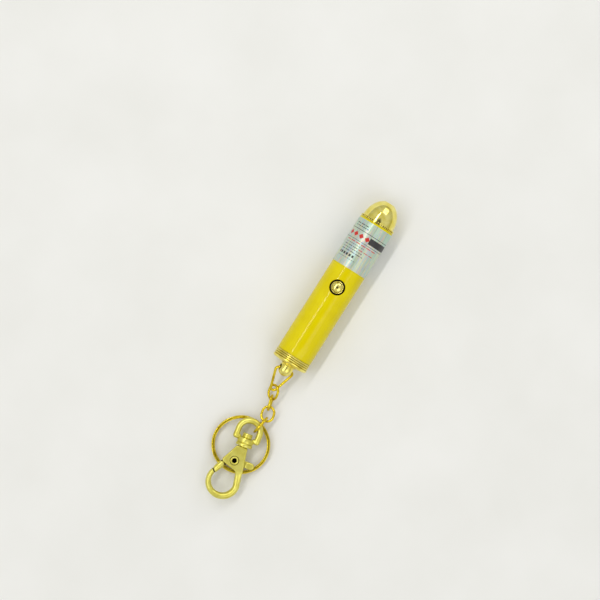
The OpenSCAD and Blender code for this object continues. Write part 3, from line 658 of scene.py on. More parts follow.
drill = fresh("lug_drill", bpy.ops.mesh.primitive_cylinder_add,
              vertices=40, radius=LUG_HOLE_R * MM, depth=LUG_DRILL_L * MM)
put(drill, Matrix.Translation(lug_hole) @ Matrix.Rotation(math.radians(LUG_ROLL), 4, "Y")
    @ Matrix.Rotation(math.radians(90), 4, "Y"))
cut(cap, drill)
finish_piece(cap, "cap", satin_gold, "gold_chrome", "end_cap")
# Painted shade in the grooves between the rings, so that the fine rings read as dark lines
add_finish(cap, groove_shade_gold, in_ring_groove)

# %% [markdown]
# Barrel
# The barrel is a length of drawn tube with its two rims rolled over a little, and a hole drilled in its
# side for the button. The rings of the turning lie closer together near the hole, so that the cut
# leaves small faces there. The drill has a countersink that rises and falls with the curve of the
# tube, so that the one cut also breaks the sharp edge by the same amount all round.

# %% Tube with the button hole
TUBE_R, TUBE_BORE, HOLE_R, SINK, DRILL_REACH = 6.87, 6.07, 2.95, 0.13, 3
hole_s = (button_spot.y - barrel_low.y) / MM
rim = [(TUBE_BORE, 0.2), (TUBE_BORE + 0.06, 0.05), (TUBE_BORE + 0.2, 0), (TUBE_R - 0.24, 0),
       (TUBE_R - 0.07, 0.07), (TUBE_R, 0.24)]
far_rim = [(r, BARREL_L - s) for r, s in reversed(rim)]
stations = [6, 12, 18, 22] + [hole_s - 4.5 + i for i in range(10)] + [38, 44, 50]
skin = [(TUBE_R, s) for s in stations]
core = [(TUBE_BORE, s) for s in reversed(stations)]
tube = turn("barrel_tube", rim + skin + far_rim + core + [rim[0]], sides=120)
put(tube, along_barrel(0))
sink_r = HOLE_R + 2 * SINK
sink = turn("hole_drill", [(0, -DRILL_REACH), (HOLE_R, -DRILL_REACH), (HOLE_R, -SINK), (sink_r, SINK),
                           (sink_r, DRILL_REACH), (0, DRILL_REACH)])
for v in sink.data.vertices:
    across = HOLE_R * MM * v.co.x / max(v.co.xy.length, MERGE)
    v.co.z += math.sqrt((TUBE_R * MM) ** 2 - across ** 2)
put(sink, Matrix.Translation((AXIS_X, button_spot.y, AXIS_Z)))
cut(tube, sink)
print("hole of", 2 * HOLE_R, "mm with its edge broken by", SINK, "mm")
finish_piece(tube, "pointer", enamel, "yellow_paint", "barrel")

# %% [markdown]
# Bent wire
# The links are lengths of round wire, bent round a former. The same can be done in edit mode: a circle
# is the wire's section, extruding it makes a straight stretch, and the Spin tool makes a bend. With no
# window Spin turns clockwise for a positive angle, so a left turn is given a minus sign. Where the wire
# meets its own start, the doubled ring is merged. Free ends are rounded by a few smaller rings, and the
# butt joint where the two ends of a link's wire meet is a narrow waist.

# %% Rounded ends
END_STEPS = 5


def selected_centre():
    piece = bpy.context.active_object
    leave_edit()
    chosen = [v.co for v in piece.data.vertices if v.select]
    centre = sum(chosen, Vector()) / len(chosen)
    bpy.ops.object.mode_set(mode="EDIT")
    return centre


def cap_end(heading, radius):
    last = radius
    for i in range(1, END_STEPS + 1):
        a = math.radians(90 * i / END_STEPS)
        ring = max(radius * math.cos(a), POLE)
        ahead = radius * (math.sin(a) - math.sin(math.radians(90 * (i - 1) / END_STEPS)))
        bpy.ops.mesh.extrude_region_move(TRANSFORM_OT_translate={"value": heading * ahead * MM})
        bpy.ops.transform.resize(value=(ring / last,) * 3, center_override=selected_centre())
        last = ring


def select_near(piece, spot, reach):
    leave_edit()
    for part in list(piece.data.polygons) + list(piece.data.edges):
        part.select = False
    for v in piece.data.vertices:
        v.select = (v.co - spot).length < reach
    bpy.ops.object.mode_set(mode="EDIT")


print("free ends are rounded in", END_STEPS, "steps")


# %% Section of a bar
def heading_at(degrees):
    return Vector((math.cos(math.radians(degrees)), math.sin(math.radians(degrees)), 0))


def section(name, spot, degrees, width, thick, sides, filled=False, ridge=0.0):
    piece = fresh(name, bpy.ops.mesh.primitive_circle_add, vertices=sides, radius=0.5 * MM)
    edit_all()
    if filled:
        bpy.ops.mesh.edge_face_add()
    bpy.ops.transform.resize(value=(width, thick, 1), center_override=(0, 0, 0))
    leave_edit()
    for v in piece.data.vertices:
        v.co.x += math.copysign(ridge * MM, v.co.x) if abs(v.co.y) < MERGE else 0
    put(piece, Matrix.Translation(spot * MM) @ Matrix.Rotation(math.radians(degrees + 90), 4, "Z")
        @ Matrix.Rotation(math.radians(90), 4, "X"))
    edit_all()
    return piece


print("a section faces its heading; 90 degrees is", [round(v, 3) for v in heading_at(90)])

# %% Wire bender
SEAM, SEAM_WAIST = 0.1, 0.8
BEND_STEP = 7.5
# The ring at the wire's start is picked out by its distance, with a little to spare
TO_SPARE = 1.02


def bend_wire(name, thick, start, degrees, moves, closed=True, sides=24, smooth=60, width=0):
    width = width or thick
    spot, first = Vector((start[0], start[1], 0)), degrees
    wire = section(name, spot, degrees, width, thick, sides)
    begin = spot.copy()
    for kind, *size in moves:
        if kind == "run":
            step = heading_at(degrees) * size[0]
            bpy.ops.mesh.extrude_region_move(TRANSFORM_OT_translate={"value": step * MM})
            spot += step
        elif kind == "seam":
            step = heading_at(degrees) * SEAM / 2
            for grow in (SEAM_WAIST, 1 / SEAM_WAIST):
                bpy.ops.mesh.extrude_region_move(TRANSFORM_OT_translate={"value": step * MM})
                spot += step
                bpy.ops.transform.resize(value=(grow, grow, grow), center_override=spot * MM)
        else:
            radius, sweep = size
            side = 1 if sweep > 0 else -1
            centre = spot + heading_at(degrees + 90) * radius * side
            bpy.ops.mesh.spin(steps=max(4, round(abs(sweep) / BEND_STEP)), angle=-math.radians(sweep),
                              center=centre * MM, axis=(0, 0, 1))
            degrees += sweep
            spot = centre - heading_at(degrees + 90) * radius * side
    if not closed:
        cap_end(heading_at(degrees), thick / 2)
        select_near(wire, begin * MM, width / 2 * MM * TO_SPARE)
        cap_end(-heading_at(first), thick / 2)
    leave_edit()
    close_up(wire, smooth)
    return wire


print("a quarter bend has", round(90 / BEND_STEP), "steps")

# %% [markdown]
# Chain
# A triangle of wire goes through the cap's lug, then come three oval links and one larger joining link.
# Each lies as the frame has it: its place comes from the hinges, and its turns are those of the solids.

# %% Triangle
TRI_WIRE, TRI_L, TRI_HALF, TRI_BEND, TRI_END_Z, SEAM_AT = 1.0, 9.5, 3.4, 1.2, 4.0, 0.6
TRI_PITCH = math.degrees(math.asin((lug_hole.z / MM - TRI_END_Z) / TRI_L))


def link_matrix(start, yaw, pitch, roll):
    made = Matrix.Translation(start)
    for degrees, axis in [(yaw, "Z"), (pitch, "X"), (roll, "Y")]:
        made = made @ Matrix.Rotation(math.radians(degrees), 4, axis)
    return made


belt_x, belt_y = TRI_HALF - TRI_BEND, TRI_L - 2 * TRI_BEND
lean = math.degrees(math.atan(belt_x / belt_y))
leg = math.hypot(belt_x, belt_y)
triangle = bend_wire("triangle_wire", TRI_WIRE, (-belt_x, 0), 0, [
    ("run", 2 * belt_x), ("bend", TRI_BEND, -90 - lean), ("run", leg), ("bend", TRI_BEND, -180 + 2 * lean),
    ("run", leg * SEAM_AT - SEAM), ("seam",), ("run", leg * (1 - SEAM_AT)), ("bend", TRI_BEND, -90 - lean)])
put(triangle, link_matrix(lug_hole, 0, TRI_PITCH, LUG_ROLL))
finish_piece(triangle, "triangle", wire_gold, "chain_gold", "triangle_link")

# %% Links
# Each link: number, outer length and width, wire, hinge at its far end, yaw, pitch and roll
LINKS = [
    (1, 6.5, 5.4, 0.95, "link_2_swing", 11, 20, -41), (2, 6.5, 5.4, 0.95, "link_3_swing", 16, 0, 84),
    (3, 6.5, 5.4, 0.95, "link_4_swing", 16, -8, -2.5), (4, 7.8, 7.6, 1.0, "eye_swing", -10, 0, 90)]


def along(yaw, pitch):
    yaw, pitch = math.radians(yaw), math.radians(pitch)
    return Vector((math.sin(yaw) * math.cos(pitch), -math.cos(yaw) * math.cos(pitch), -math.sin(pitch)))


for number, length, width, wire, hinge, yaw, pitch, roll in LINKS:
    bow = (width - wire) / 2
    straight = length - width
    link = bend_wire(f"wire_link_{number}", wire, (0, 0), 0, [
        ("bend", bow, -90), ("run", (straight - SEAM) / 2), ("seam",), ("run", (straight - SEAM) / 2),
        ("bend", bow, -180), ("run", straight), ("bend", bow, -90)])
    start = Vector(joints[hinge]["pos_m"]) - along(yaw, pitch) * (length - wire) * MM
    put(link, link_matrix(start, yaw, pitch, roll))
    finish_piece(link, f"link_{number}", wire_gold, "chain_gold", f"chain_link_{number}")

# %% [markdown]
# Swivel eye and its rivet
# The eye is a cast arch on a collar. It is modelled as a thick wire with rounded feet, two short stubs
# that join the feet to the collar, and the collar itself, turned with a groove between two bands. A
# Boolean union fuses them into one casting, and points that the union leaves very close together are
# merged. The rivet that the hook turns on goes through the collar, and its head shows inside the arch.

# %% Eye arch
HOOK_YAW = 11.2
SWIVEL_Q, EYE_UP = 1.2, 11.95
EYE_R, EYE_BAR, EYE_LIMB, STUB_FROM = 3.95, 2.0, 2.95, 2.95
ARCH_R, ARCH_W = EYE_R + 0.12, EYE_BAR + 0.24
FUSE_SMOOTH = 45
# Points that a union leaves closer together than this are merged
SLIVER = 0.004 * MM
pivot = Vector(joints["gate_open"]["pos_m"])
hook_matrix = Matrix.Translation(pivot) @ Matrix.Rotation(math.radians(HOOK_YAW), 4, "Z")
eye_matrix = hook_matrix @ Matrix.Translation(Vector((SWIVEL_Q, EYE_UP, 0)) * MM)
down_eye = eye_matrix @ Matrix.Rotation(math.radians(90), 4, "X")


def fuse(first, *others):
    for other in others:
        cut(first, other, how="UNION", smooth=FUSE_SMOOTH)
    close_up(first, smooth=FUSE_SMOOTH, merge=SLIVER)
    return first


arch = bend_wire("swivel_eye_casting", EYE_BAR, (-ARCH_R, -EYE_LIMB), 90, [
    ("run", EYE_LIMB), ("bend", ARCH_R, -180), ("run", EYE_LIMB)], closed=False, sides=32, width=ARCH_W)
stubs = [bend_wire("stub", EYE_BAR - 0.15, (side * STUB_FROM, -EYE_LIMB), 90 - 90 * side,
                   [("run", EYE_R - STUB_FROM)], closed=False) for side in (-1, 1)]
put(fuse(arch, *stubs), eye_matrix)
print("arch of", len(arch.data.polygons), "faces with its stubs")

# %% Collar and rivet
COLLAR_TOP, COLLAR_L, COLLAR_R, COLLAR_BORE = 2.75, 3.2, 3.1, 1.25
collar_profile = [
    (COLLAR_BORE, 0), (COLLAR_R - 0.3, 0), (COLLAR_R - 0.08, 0.08), (COLLAR_R, 0.3), (COLLAR_R, 1.65),
    (COLLAR_R - 0.1, 1.85), (COLLAR_R - 0.32, 1.98), (COLLAR_R - 0.1, 2.11), (COLLAR_R, 2.3),
    (COLLAR_R, 2.9), (COLLAR_R - 0.08, 3.12), (COLLAR_R - 0.3, COLLAR_L), (COLLAR_BORE, COLLAR_L),
    (COLLAR_BORE, 0)]
collar = turn("collar", [(r, z + COLLAR_TOP) for r, z in collar_profile])
put(collar, down_eye)
finish_piece(fuse(arch, collar), "eye", cast_gold, "pale_gold", "swivel_eye")

HEAD_R, HEAD_TOP, HEAD_FOOT, STEM_R, STEM_END = 1.84, 0.93, 2.63, 1.2, 8.0
rivet_profile = [
    (0, HEAD_TOP), (1.62, HEAD_TOP), (1.78, 0.99), (HEAD_R, 1.12), (HEAD_R, 1.5), (1.72, 1.58),
    (1.72, 1.7), (HEAD_R, 1.78), (HEAD_R, 2.5), (1.74, HEAD_FOOT), (STEM_R, HEAD_FOOT),
    (STEM_R, STEM_END), (0, STEM_END)]
rivet = turn("swivel_rivet_turned", rivet_profile)
put(rivet, down_eye)
finish_piece(rivet, "hook", cast_gold, "pale_gold", "swivel_rivet")

# %% [markdown]
# Hook
# The hook's body is a flat casting with a slot for the gate, and its bow is a bar that swells from the
# nose to the shank. The flat part is drawn point by point, filled, extruded to its thickness and
# bevelled all round. The bow is spun one step at a time, and each new ring is scaled to the width of
# the bar there. A small ridge on both sides of the bar is the line where the two halves of the mould
# met. The nose face looks at the gate's pivot, so that the gate can swing past it.

# %% Plate helper
CAST_SMOOTH = 50
BEVEL_FROM = 40


def plate(name, outline, thick, round_mm, corner_mm=0.0, segments=3):
    piece = fresh(name, bpy.ops.mesh.primitive_plane_add, size=MM)
    edit_all()
    bpy.ops.mesh.merge(type="CENTER")
    x, y = outline[0]
    bpy.ops.transform.translate(value=(x * MM, y * MM, -thick / 2 * MM))
    for next_x, next_y in outline[1:]:
        bpy.ops.mesh.extrude_region_move(
            TRANSFORM_OT_translate={"value": ((next_x - x) * MM, (next_y - y) * MM, 0)})
        x, y = next_x, next_y
    bpy.ops.mesh.select_all(action="SELECT")
    bpy.ops.mesh.edge_face_add()
    if corner_mm:
        bpy.ops.mesh.bevel(offset=corner_mm * MM, segments=4, affect="VERTICES")
        bpy.ops.mesh.select_all(action="SELECT")
    bpy.ops.mesh.extrude_region_move(TRANSFORM_OT_translate={"value": (0, 0, thick * MM)})
    leave_edit()
    close_up(piece)
    if round_mm:
        step = piece.modifiers.new("round", "BEVEL")
        step.width = round_mm * MM
        step.segments = segments
        step.limit_method = "ANGLE"
        step.angle_limit = math.radians(BEVEL_FROM)
        bpy.ops.object.modifier_apply(modifier=step.name)
        bpy.ops.object.shade_smooth_by_angle(angle=math.radians(CAST_SMOOTH))
    return piece


print("edges sharper than", BEVEL_FROM, "degrees are rounded")

# %% Cheeks and shank
HOOK_T, SLOT_T, NECK_Y = 3.2, 1.7, 5.75
cheeks = plate("hook_casting", [
    (-1.1, NECK_Y), (2.95, NECK_Y), (4.05, -0.9), (4.66, -5.6), (2.4, -6.04), (1.6, -3.5), (-3.9, -1.75),
    (-4.55, -0.95)], HOOK_T, 0.4, corner_mm=0.4)
# Below the cheeks the shank thins evenly, so that its foot sinks into the round bar. The cuts beside the
# bend keep the shading of the flat faces flat
SHANK_WAY, SHANK_FROM, SHANK_TO, FOOT_T = heading_at(-79), 3.9, 6.4, 1.1
for beside in (-0.25, 0, 0.25):
    edit_all()
    bpy.ops.mesh.bisect(plane_co=SHANK_WAY * (SHANK_FROM + beside) * MM, plane_no=SHANK_WAY)
    leave_edit()
for v in cheeks.data.vertices:
    share = (v.co.dot(SHANK_WAY) / MM - SHANK_FROM) / (SHANK_TO - SHANK_FROM)
    v.co.z *= 1 - max(share, 0) * (1 - FOOT_T / HOOK_T)
print("shank thins from", HOOK_T, "to", FOOT_T, "mm")

# %% Slot, rivet hole and groove
PIVOT_HOLE, RIVET_DRILL_L = 1.25, 6
GROOVE_IN, GROOVE_OUT, GROOVE_DEEP = 1.5, 1.74, 0.2
slot = plate("slot_cutter", [
    (-9, 1.4), (-3, 1.4), (-0.6, 2.7), (1.4, 2.9), (4, 4.4), (9, 4.4), (9, -1.75), (1.75, -1.75),
    (1.2, -4.5), (-9, -4.5)], SLOT_T, 0)
cut(cheeks, slot, smooth=CAST_SMOOTH)
rivet_drill = fresh("rivet_drill", bpy.ops.mesh.primitive_cylinder_add,
                    vertices=40, radius=PIVOT_HOLE * MM, depth=RIVET_DRILL_L * MM)
cut(cheeks, rivet_drill, smooth=CAST_SMOOTH)
for side in (-1, 1):
    floor_z, top_z = side * (HOOK_T / 2 - GROOVE_DEEP), side * (HOOK_T / 2 + 1)
    groove = turn("groove_cutter", [(GROOVE_IN, floor_z), (GROOVE_OUT, floor_z), (GROOVE_OUT, top_z),
                                    (GROOVE_IN, top_z), (GROOVE_IN, floor_z)], sides=48)
    cut(cheeks, groove, smooth=CAST_SMOOTH)
print("cheeks with slot, hole and groove:", len(cheeks.data.polygons), "faces")

# %% Width of the bow
BOW_X, BOW_Y, BOW_R, BOW_T, BOW_SIDES = -1.5, -8.7, 4.25, 2.4, 28
OUTER_X, OUTER_Y, OUTER_R = -1.25, -8.9, 6.4
NOSE_ANGLE, NOSE_LAND, CHAMFER, PARTING = 149, 2, 0.88, 0.05
bow_centre = Vector((BOW_X, BOW_Y, 0))


def bow_width(degrees):
    off = Vector((OUTER_X - BOW_X, OUTER_Y - BOW_Y, 0))
    reach = off.dot(heading_at(degrees))
    return reach + math.sqrt(OUTER_R ** 2 - off.length_squared + reach ** 2) - BOW_R


def spin_by(degrees, centre):
    bpy.ops.transform.rotate(value=-math.radians(degrees), orient_axis="Z", center_override=centre)


nose_mid = bow_centre + heading_at(NOSE_ANGLE) * (BOW_R + bow_width(NOSE_ANGLE) / 2)
face_heading = math.degrees(math.atan2(nose_mid.y, nose_mid.x)) % 360
tilt_back = NOSE_ANGLE + 90 - face_heading
print("nose", round(bow_width(NOSE_ANGLE), 2), "mm wide, its face heads", round(face_heading, 1), "degrees")

# %% Bow, spun step by step
BOW_STATIONS = [NOSE_ANGLE + NOSE_LAND] + list(range(158, 366, 8))
TAIL_SPOT = Vector((3.2, -4.2, 0))
width, degrees = bow_width(NOSE_ANGLE) * CHAMFER, NOSE_ANGLE
bow = section("bow", nose_mid, face_heading, width, BOW_T * CHAMFER, BOW_SIDES, filled=True, ridge=PARTING)
for next_degrees in BOW_STATIONS:
    old_middle = BOW_R + bow_width(degrees) / 2
    bpy.ops.mesh.extrude_region_move()
    spin_by(next_degrees - degrees, bow_centre * MM)
    shift = heading_at(next_degrees) * (BOW_R + bow_width(next_degrees) / 2 - old_middle)
    bpy.ops.transform.translate(value=shift * MM)
    if degrees == NOSE_ANGLE + NOSE_LAND:
        spin_by(tilt_back, selected_centre())
    grow = bow_width(next_degrees) / width
    taller = 1 / CHAMFER if degrees == NOSE_ANGLE else 1
    bpy.ops.transform.resize(value=(grow, grow, taller), center_override=selected_centre())
    width, degrees = bow_width(next_degrees), next_degrees
tail = selected_centre()
bpy.ops.mesh.extrude_region_move(TRANSFORM_OT_translate={"value": TAIL_SPOT * MM - tail})
leave_edit()
close_up(bow, CAST_SMOOTH)
print("bow ends at", [round(c / MM, 2) for c in tail], "width", round(width, 2), "mm")

# %% Hook in one casting
hook = fuse(cheeks, bow)
put(hook, hook_matrix)
finish_piece(hook, "hook", cast_gold, "pale_gold", "hook_body")

# %% [markdown]
# Gate and its rivet
# The gate turns on a hollow rivet between the cheeks. Its arm reaches the nose and swells where it
# leaves the slot. On the other side a short lever sticks out for the thumb, thicker than the slot and
# rounded off. Hub, lever and arm are modelled apart and fused. The hub's faces in the slot are painted
# dark: painted shade in the gap beside the cheeks.

# %% Hub and thumb lever
GATE_T, HUB_R, SLOT_EDGE, GATE_DRILL_L = 1.4, 1.9, 3.6, 4
THUMB_R, THUMB_FOOT, THUMB_END, THUMB_T = 1.25, 4.3, 7.6, 2.4
hub_arc = arc((0, 0), (HUB_R, HUB_R), 24, 108, 7)
gate = plate("gate_casting", [(4.9, -1.2), (4.9, 1.2), (HUB_R, 1.2)] + hub_arc + [
    (-3.0, 0.8), (-4.2, -0.9), (-4.9, -2.6), (-3.4, -3.5), (-2.2, -2.2), (-0.8, -1.75), (1.4, -1.2)],
    GATE_T, 0.12)
thumb_arc = arc((THUMB_END - THUMB_R, 0), (THUMB_R, THUMB_R), -90, 90, 12)
thumb = plate("thumb", [(THUMB_FOOT, -THUMB_R)] + thumb_arc + [(THUMB_FOOT, THUMB_R)],
              THUMB_T, 0.4, segments=4)
gate_hole = fresh("gate_hole", bpy.ops.mesh.primitive_cylinder_add,
                  vertices=36, radius=PIVOT_HOLE * MM, depth=GATE_DRILL_L * MM)
cut(gate, gate_hole, smooth=CAST_SMOOTH)
edit_all()
bpy.ops.mesh.bisect(plane_co=(SLOT_EDGE * MM, 0, 0), plane_no=(1, 0, 0))
leave_edit()
dress(gate, cast_gold)
# Faces inside the slot are painted dark: painted shade in the gap beside the cheeks
add_finish(gate, painted_shade_brass, lambda spot: spot.x < SLOT_EDGE * MM)

# %% Gate arm
GATE_GAP, ARM_CHAMFER, TONGUE = 0.15, 0.14, 0.11
to_pivot = -nose_mid.normalized()
arm_end = nose_mid + to_pivot * GATE_GAP
# Stations of the arm: place, width and thickness. From the fourth on they lie along the nose face, and the
# last two are a low tongue that all but closes the gap
ARM = [
    (Vector((-3.61, -1.97, 0)), 1.9, 1.3), (Vector((-3.93, -2.54, 0)), 2.45, 2.15),
    (Vector((-5.08, -4.6, 0)), 2.3, 2.35), (arm_end + to_pivot * ARM_CHAMFER, 2.1, 2.35),
    (arm_end, 1.85, 2.07), (arm_end, 1.6, 1.8), (arm_end - to_pivot * TONGUE, 1.6, 1.8)]
FACE_STATION = 3
spot, arm_w, arm_t = ARM[0]
run = ARM[2][0] - spot
arm_heading = math.degrees(math.atan2(run.y, run.x)) % 360
arm = section("arm", spot, arm_heading, arm_w, arm_t, BOW_SIDES, filled=True, ridge=PARTING)
for i, (next_spot, w, t) in enumerate(ARM[1:], start=1):
    bpy.ops.mesh.extrude_region_move(TRANSFORM_OT_translate={"value": (next_spot - spot) * MM})
    if i == FACE_STATION:
        spin_by(face_heading - arm_heading, next_spot * MM)
    bpy.ops.transform.resize(value=(w / arm_w, w / arm_w, t / arm_t), center_override=next_spot * MM)
    spot, arm_w, arm_t = next_spot, w, t
leave_edit()
close_up(arm, CAST_SMOOTH)
print("arm ends", round(GATE_GAP, 2), "mm from the nose, heading", round(face_heading, 1))
put(fuse(gate, thumb, arm), hook_matrix)
finish_piece(gate, "gate", cast_gold, "pale_gold", "gate")

# %% Painted shade at the joint and round the rivet
# Where gate and nose meet, and in the groove round the rivet, the faces are painted dark:
# painted shade in the gap and in the groove
JOINT_SHADE_REACH, JOINT_SHADE_DEEP = 1.5, 0.27
joint_spot = hook_matrix @ (nose_mid * MM)
joint_way = (joint_spot - pivot).normalized()


def at_joint(spot):
    off = spot - joint_spot
    return off.length < JOINT_SHADE_REACH * MM and abs(off.dot(joint_way)) < JOINT_SHADE_DEEP * MM


def in_rivet_groove(spot):
    x, y, z = (hook_matrix.inverted() @ spot) / MM
    beside = GROOVE_IN - 0.1 < math.hypot(x, y) < GROOVE_OUT + 0.1
    return beside and HOOK_T / 2 - 1.5 * GROOVE_DEEP < abs(z) < HOOK_T / 2 - 0.01


add_finish(hook, painted_shade_brass, lambda spot: at_joint(spot) or in_rivet_groove(spot))
add_finish(gate, painted_shade_brass, at_joint)

# %% Hollow rivet
RIVET_R, RIVET_BORE, FLARE_R = 1.2, 0.85, 1.55
HALF = HOOK_T / 2 + 0.03
flare = [(RIVET_R, HALF), (FLARE_R - 0.08, HALF), (FLARE_R, HALF + 0.1), (FLARE_R - 0.04, HALF + 0.22),
         (FLARE_R - 0.2, HALF + 0.33), (RIVET_R, HALF + 0.35)]
mouth = [(RIVET_BORE + 0.12, HALF + 0.28), (RIVET_BORE, HALF + 0.1)]
bore = [(RIVET_BORE, -HALF + 0.5), (RIVET_BORE - 0.3, -HALF + 0.2), (0, -HALF + 0.05)]
head = [(r, -z) for r, z in reversed(flare)]


def in_bore(spot):
    off = spot - pivot
    return off.xy.length < RIVET_BORE * MM and (0.1 - HALF) * MM < off.z < (HALF - 0.05) * MM


gate_rivet = turn("hollow_gate_rivet", [(0, head[0][1])] + head + flare + mouth + bore, sides=48)
put(gate_rivet, hook_matrix)
finish_piece(gate_rivet, "hook", cast_gold, "pale_gold", "gate_rivet")
# The bore is painted dark: painted shade down in the hole
add_finish(gate_rivet, painted_shade_brass, in_bore)

# %% [markdown]
# Key ring
# A split ring is one strip of flattened wire wound twice, with a small step where it climbs from the
# first turn to the second. The strip's section is a small plane with its corners bevelled. Spin makes
# each level turn in one go, and the step between them is a few short spins, each lifted a little.

# %% Split ring
RING_MID, STRIP_W, STRIP_T, STRIP_ROUND, TURN_GAP = 10.3, 1.2, 0.8, 0.3, 0.45
RING_START, LEAD, JOG, JOG_STEPS, TURN_STEPS = 150, 10, 24, 8, 110
RING_LIFT = 1.22
level = 360 - LEAD - JOG
tilt = math.asin(RING_LIFT / (2 * RING_MID))
ring_low, ring_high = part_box("split_ring")
ring_middle = (ring_low + ring_high) / 2


def wind(steps, sweep, lift=0.0):
    bpy.ops.mesh.spin(steps=steps, angle=-math.radians(sweep), center=(0, 0, 0), axis=(0, 0, 1))
    if lift:
        bpy.ops.transform.translate(value=(0, 0, lift * MM))


strip = fresh("split_ring_strip", bpy.ops.mesh.primitive_plane_add, size=1)
edit_all()
bpy.ops.transform.resize(value=(STRIP_W * MM, STRIP_T * MM, 1), center_override=(0, 0, 0))
bpy.ops.mesh.bevel(offset=STRIP_ROUND * MM, segments=4, affect="VERTICES")
leave_edit()
put(strip, Matrix.Rotation(math.radians(RING_START), 4, "Z")
    @ Matrix.Translation(Vector((RING_MID, 0, STRIP_T / 2)) * MM)
    @ Matrix.Rotation(math.radians(90), 4, "X"))
edit_all()
wind(TURN_STEPS, level)
for step in range(JOG_STEPS):
    wind(1, JOG / JOG_STEPS, (STRIP_T + TURN_GAP) / JOG_STEPS)
wind(TURN_STEPS, level)
leave_edit()
close_up(strip, 40)
put(strip, Matrix.Translation((ring_middle.x, ring_middle.y, STRIP_W / 2 * math.sin(tilt) * MM))
    @ Matrix.Translation((0, -RING_MID * MM, 0)) @ Matrix.Rotation(tilt, 4, "X")
    @ Matrix.Translation((0, RING_MID * MM, 0)))
finish_piece(strip, "key_ring", wire_gold, "chain_gold", "split_ring")

# %% [markdown]
# Pieces inside
# When the tip or the cap is off, the working parts show: a brass module with a threaded nose, steel
# cells, and a coil spring that presses on them. The spring is wound from round wire, one short spin at
# a time, each a little higher and wider. Module and cells are turned, and one cell is made and copied.
# The pieces that stay hidden keep their solids and only need finishes.

# %% Contact spring
# Drawn steel wire: grey, half bright, with faint die marks
spring_steel = metal_finish("drawn_spring_steel", "#C9CACC", "#A9ABAE", 0.25, 0.38, 0.3, 0.006)
COIL_WIRE, COIL_TURNS, COIL_STEPS, COIL_SMALL, COIL_BIG = 0.5, 4, 24, 2.0, 3.2
coil_low, coil_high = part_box("contact_spring")
COIL_RISE = (coil_high.y - coil_low.y) / MM - COIL_WIRE
all_steps = COIL_TURNS * COIL_STEPS
coil = fresh("contact_coil", bpy.ops.mesh.primitive_circle_add, vertices=12, radius=COIL_WIRE / 2 * MM,
             location=(COIL_SMALL * MM, 0, COIL_WIRE / 2 * MM), rotation=(math.pi / 2, 0, 0))
edit_all()
bpy.ops.mesh.edge_face_add()
for step in range(1, all_steps + 1):
    wind(1, 360 / COIL_STEPS)
    outwards = heading_at(360 * step / COIL_STEPS) * (COIL_BIG - COIL_SMALL) / all_steps
    upwards = Vector((0, 0, COIL_RISE / all_steps))
    bpy.ops.transform.translate(value=(outwards + upwards) * MM)
leave_edit()
close_up(coil, 60)
put(coil, Matrix.Translation((AXIS_X, coil_low.y, AXIS_Z)) @ Matrix.Rotation(math.radians(-90), 4, "X"))
finish_piece(coil, "pointer", spring_steel, "steel", "contact_spring")

# %% Laser module
MODULE_R, MODULE_L, NOSE_R, NOSE_L = 6.02, 17.0, 5.1, 4.2
LENS_BORE, BEAM_BORE, DIODE_BORE = 3.3, 1.5, 2.85
LENS_SEAT, DIODE_SEAT = 8, 4
# Brass straight from the lathe: brownish yellow with fine rings round it
turned_brass = metal_finish("turned_brass", "#C9B05A", "#A98E3C", 0.22, 0.36, 0.22, 0.005, turned=True)
nose_end = MODULE_L + NOSE_L
body = [(DIODE_BORE, 0), (5.8, 0), (MODULE_R, 0.22), (MODULE_R, MODULE_L - 0.25), (5.8, MODULE_L),
        (NOSE_R - THREAD_DEEP, MODULE_L)]
nose = thread(NOSE_R, MODULE_L + 0.5, 0.58, 0.22, 0.34) + [
    (NOSE_R - THREAD_DEEP, MODULE_L + 4.0), (NOSE_R - 0.4, nose_end), (3.6, nose_end)]
inner = [(LENS_BORE, nose_end - 0.3), (LENS_BORE, LENS_SEAT), (BEAM_BORE, LENS_SEAT),
         (BEAM_BORE, DIODE_SEAT), (DIODE_BORE, DIODE_SEAT), (DIODE_BORE, 0)]
housing = turn("laser_module_housing", body + nose + inner)
put(housing, along_barrel(BARREL_L - MODULE_L))
finish_piece(housing, "pointer", turned_brass, "brass", "module_housing")

# %% Button cells
# Pressed steel, nickel plated: a clean silver with a soft shine
cell_steel = metal_finish("nickel_plated_steel", "#CFCFCB", "#B4B4AE", 0.20, 0.32, 0.4, 0.004)
CELL_R, CELL_H, CELL_TOP_R = 5.8, 5.4, 5.0
cell = turn("button_cell_rear", [
    (0, 0.06), (4.2, 0.06), (4.4, 0), (5.3, 0), (5.66, 0.1), (CELL_R, 0.35), (CELL_R, 4.55), (5.7, 4.8),
    (5.4, 4.9), (5.3, 4.86), (5.02, 4.86), (CELL_TOP_R, 4.95), (CELL_TOP_R, 5.2), (4.86, 5.36),
    (4.6, CELL_H), (0, CELL_H)])
cells = {"cell_rear": cell}
for where in ("middle", "front"):
    twin = twin_of(cell)
    twin.name = f"button_cell_{where}"
    cells[f"cell_{where}"] = twin
for node, twin in cells.items():
    put(twin, along_barrel((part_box(node)[0].y - barrel_low.y) / MM))
    finish_piece(twin, "pointer", cell_steel, "steel", node)

# %% Finishes of the inner pieces
SPECK_DEEP = 0.01


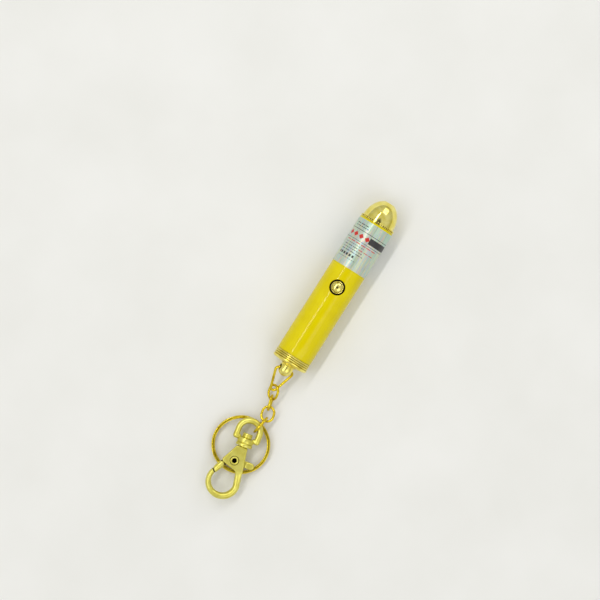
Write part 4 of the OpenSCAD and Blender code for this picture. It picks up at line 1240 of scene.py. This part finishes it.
def plain_plastic(name, light, deep, rough_value, speck_mm):
    finish, tree, shader, place = new_finish(name, Roughness=rough_value, IOR=1.5)
    speck = add_node(tree, "ShaderNodeTexNoise",
                     {"Vector": place, "Scale": 1 / (speck_mm * MM), "Detail": 3.0})
    colour = add_node(tree, "ShaderNodeValToRGB", {0: speck.outputs[0]},
                      [(0.35, linear(deep)), (0.65, linear(light))])
    tree.links.new(colour.outputs[0], shader.inputs["Base Color"])
    relief = add_node(tree, "ShaderNodeBump",
                      {"Height": speck.outputs[0], "Strength": 0.4, "Distance": SPECK_DEEP * MM})
    tree.links.new(relief.outputs[0], shader.inputs["Normal"])
    return finish


# Moulded nylon: black with a dull, slightly grainy skin
black_nylon = plain_plastic("moulded_black_nylon", "#2A2A2B", "#1B1B1C", 0.5, 0.3)
# Solder mask on a board: a glossy green coat, darker where it lies thick
green_mask = plain_plastic("green_solder_mask", "#2F7440", "#215C31", 0.3, 1.2)
# Pressed paper: cream and quite matt, with fibres
pressed_paper = plain_plastic("pressed_paper_sleeve", "#E8DFC4", "#D6CBAB", 0.8, 0.5)
# A film with a fine grating: grey and glossy
smoke_film = plain_plastic("grey_pattern_film", "#7E858A", "#60676C", 0.15, 0.6)
# Moulded acrylic: clear, with a smooth moulded skin
lens_acrylic = plain_plastic("moulded_acrylic_lens", "#DCE7EE", "#CBD8E0", 0.08, 2.0)
lens_acrylic.node_tree.nodes["Principled BSDF"].inputs["Transmission Weight"].default_value = 0.8

INSIDE = {
    "lens_retainer": turned_brass, "collimating_lens": lens_acrylic,
    "laser_diode": cell_steel, "circuit_board": green_mask, "tactile_switch": black_nylon,
    "switch_plunger": black_nylon, "series_resistor": black_nylon, "battery_sleeve": pressed_paper,
    "pattern_film": smoke_film, "film_ring": black_nylon, "gate_spring": spring_steel}
for name, finish in INSIDE.items():
    dress(nodes[name], finish)
print("inner pieces dressed:", len(INSIDE))

# %% [markdown]
# The size of the dressed scene is printed.

# %% Size of the dressed scene
low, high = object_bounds()
print("dressed box mm", [round(v / MM, 2) for v in (high - low)])
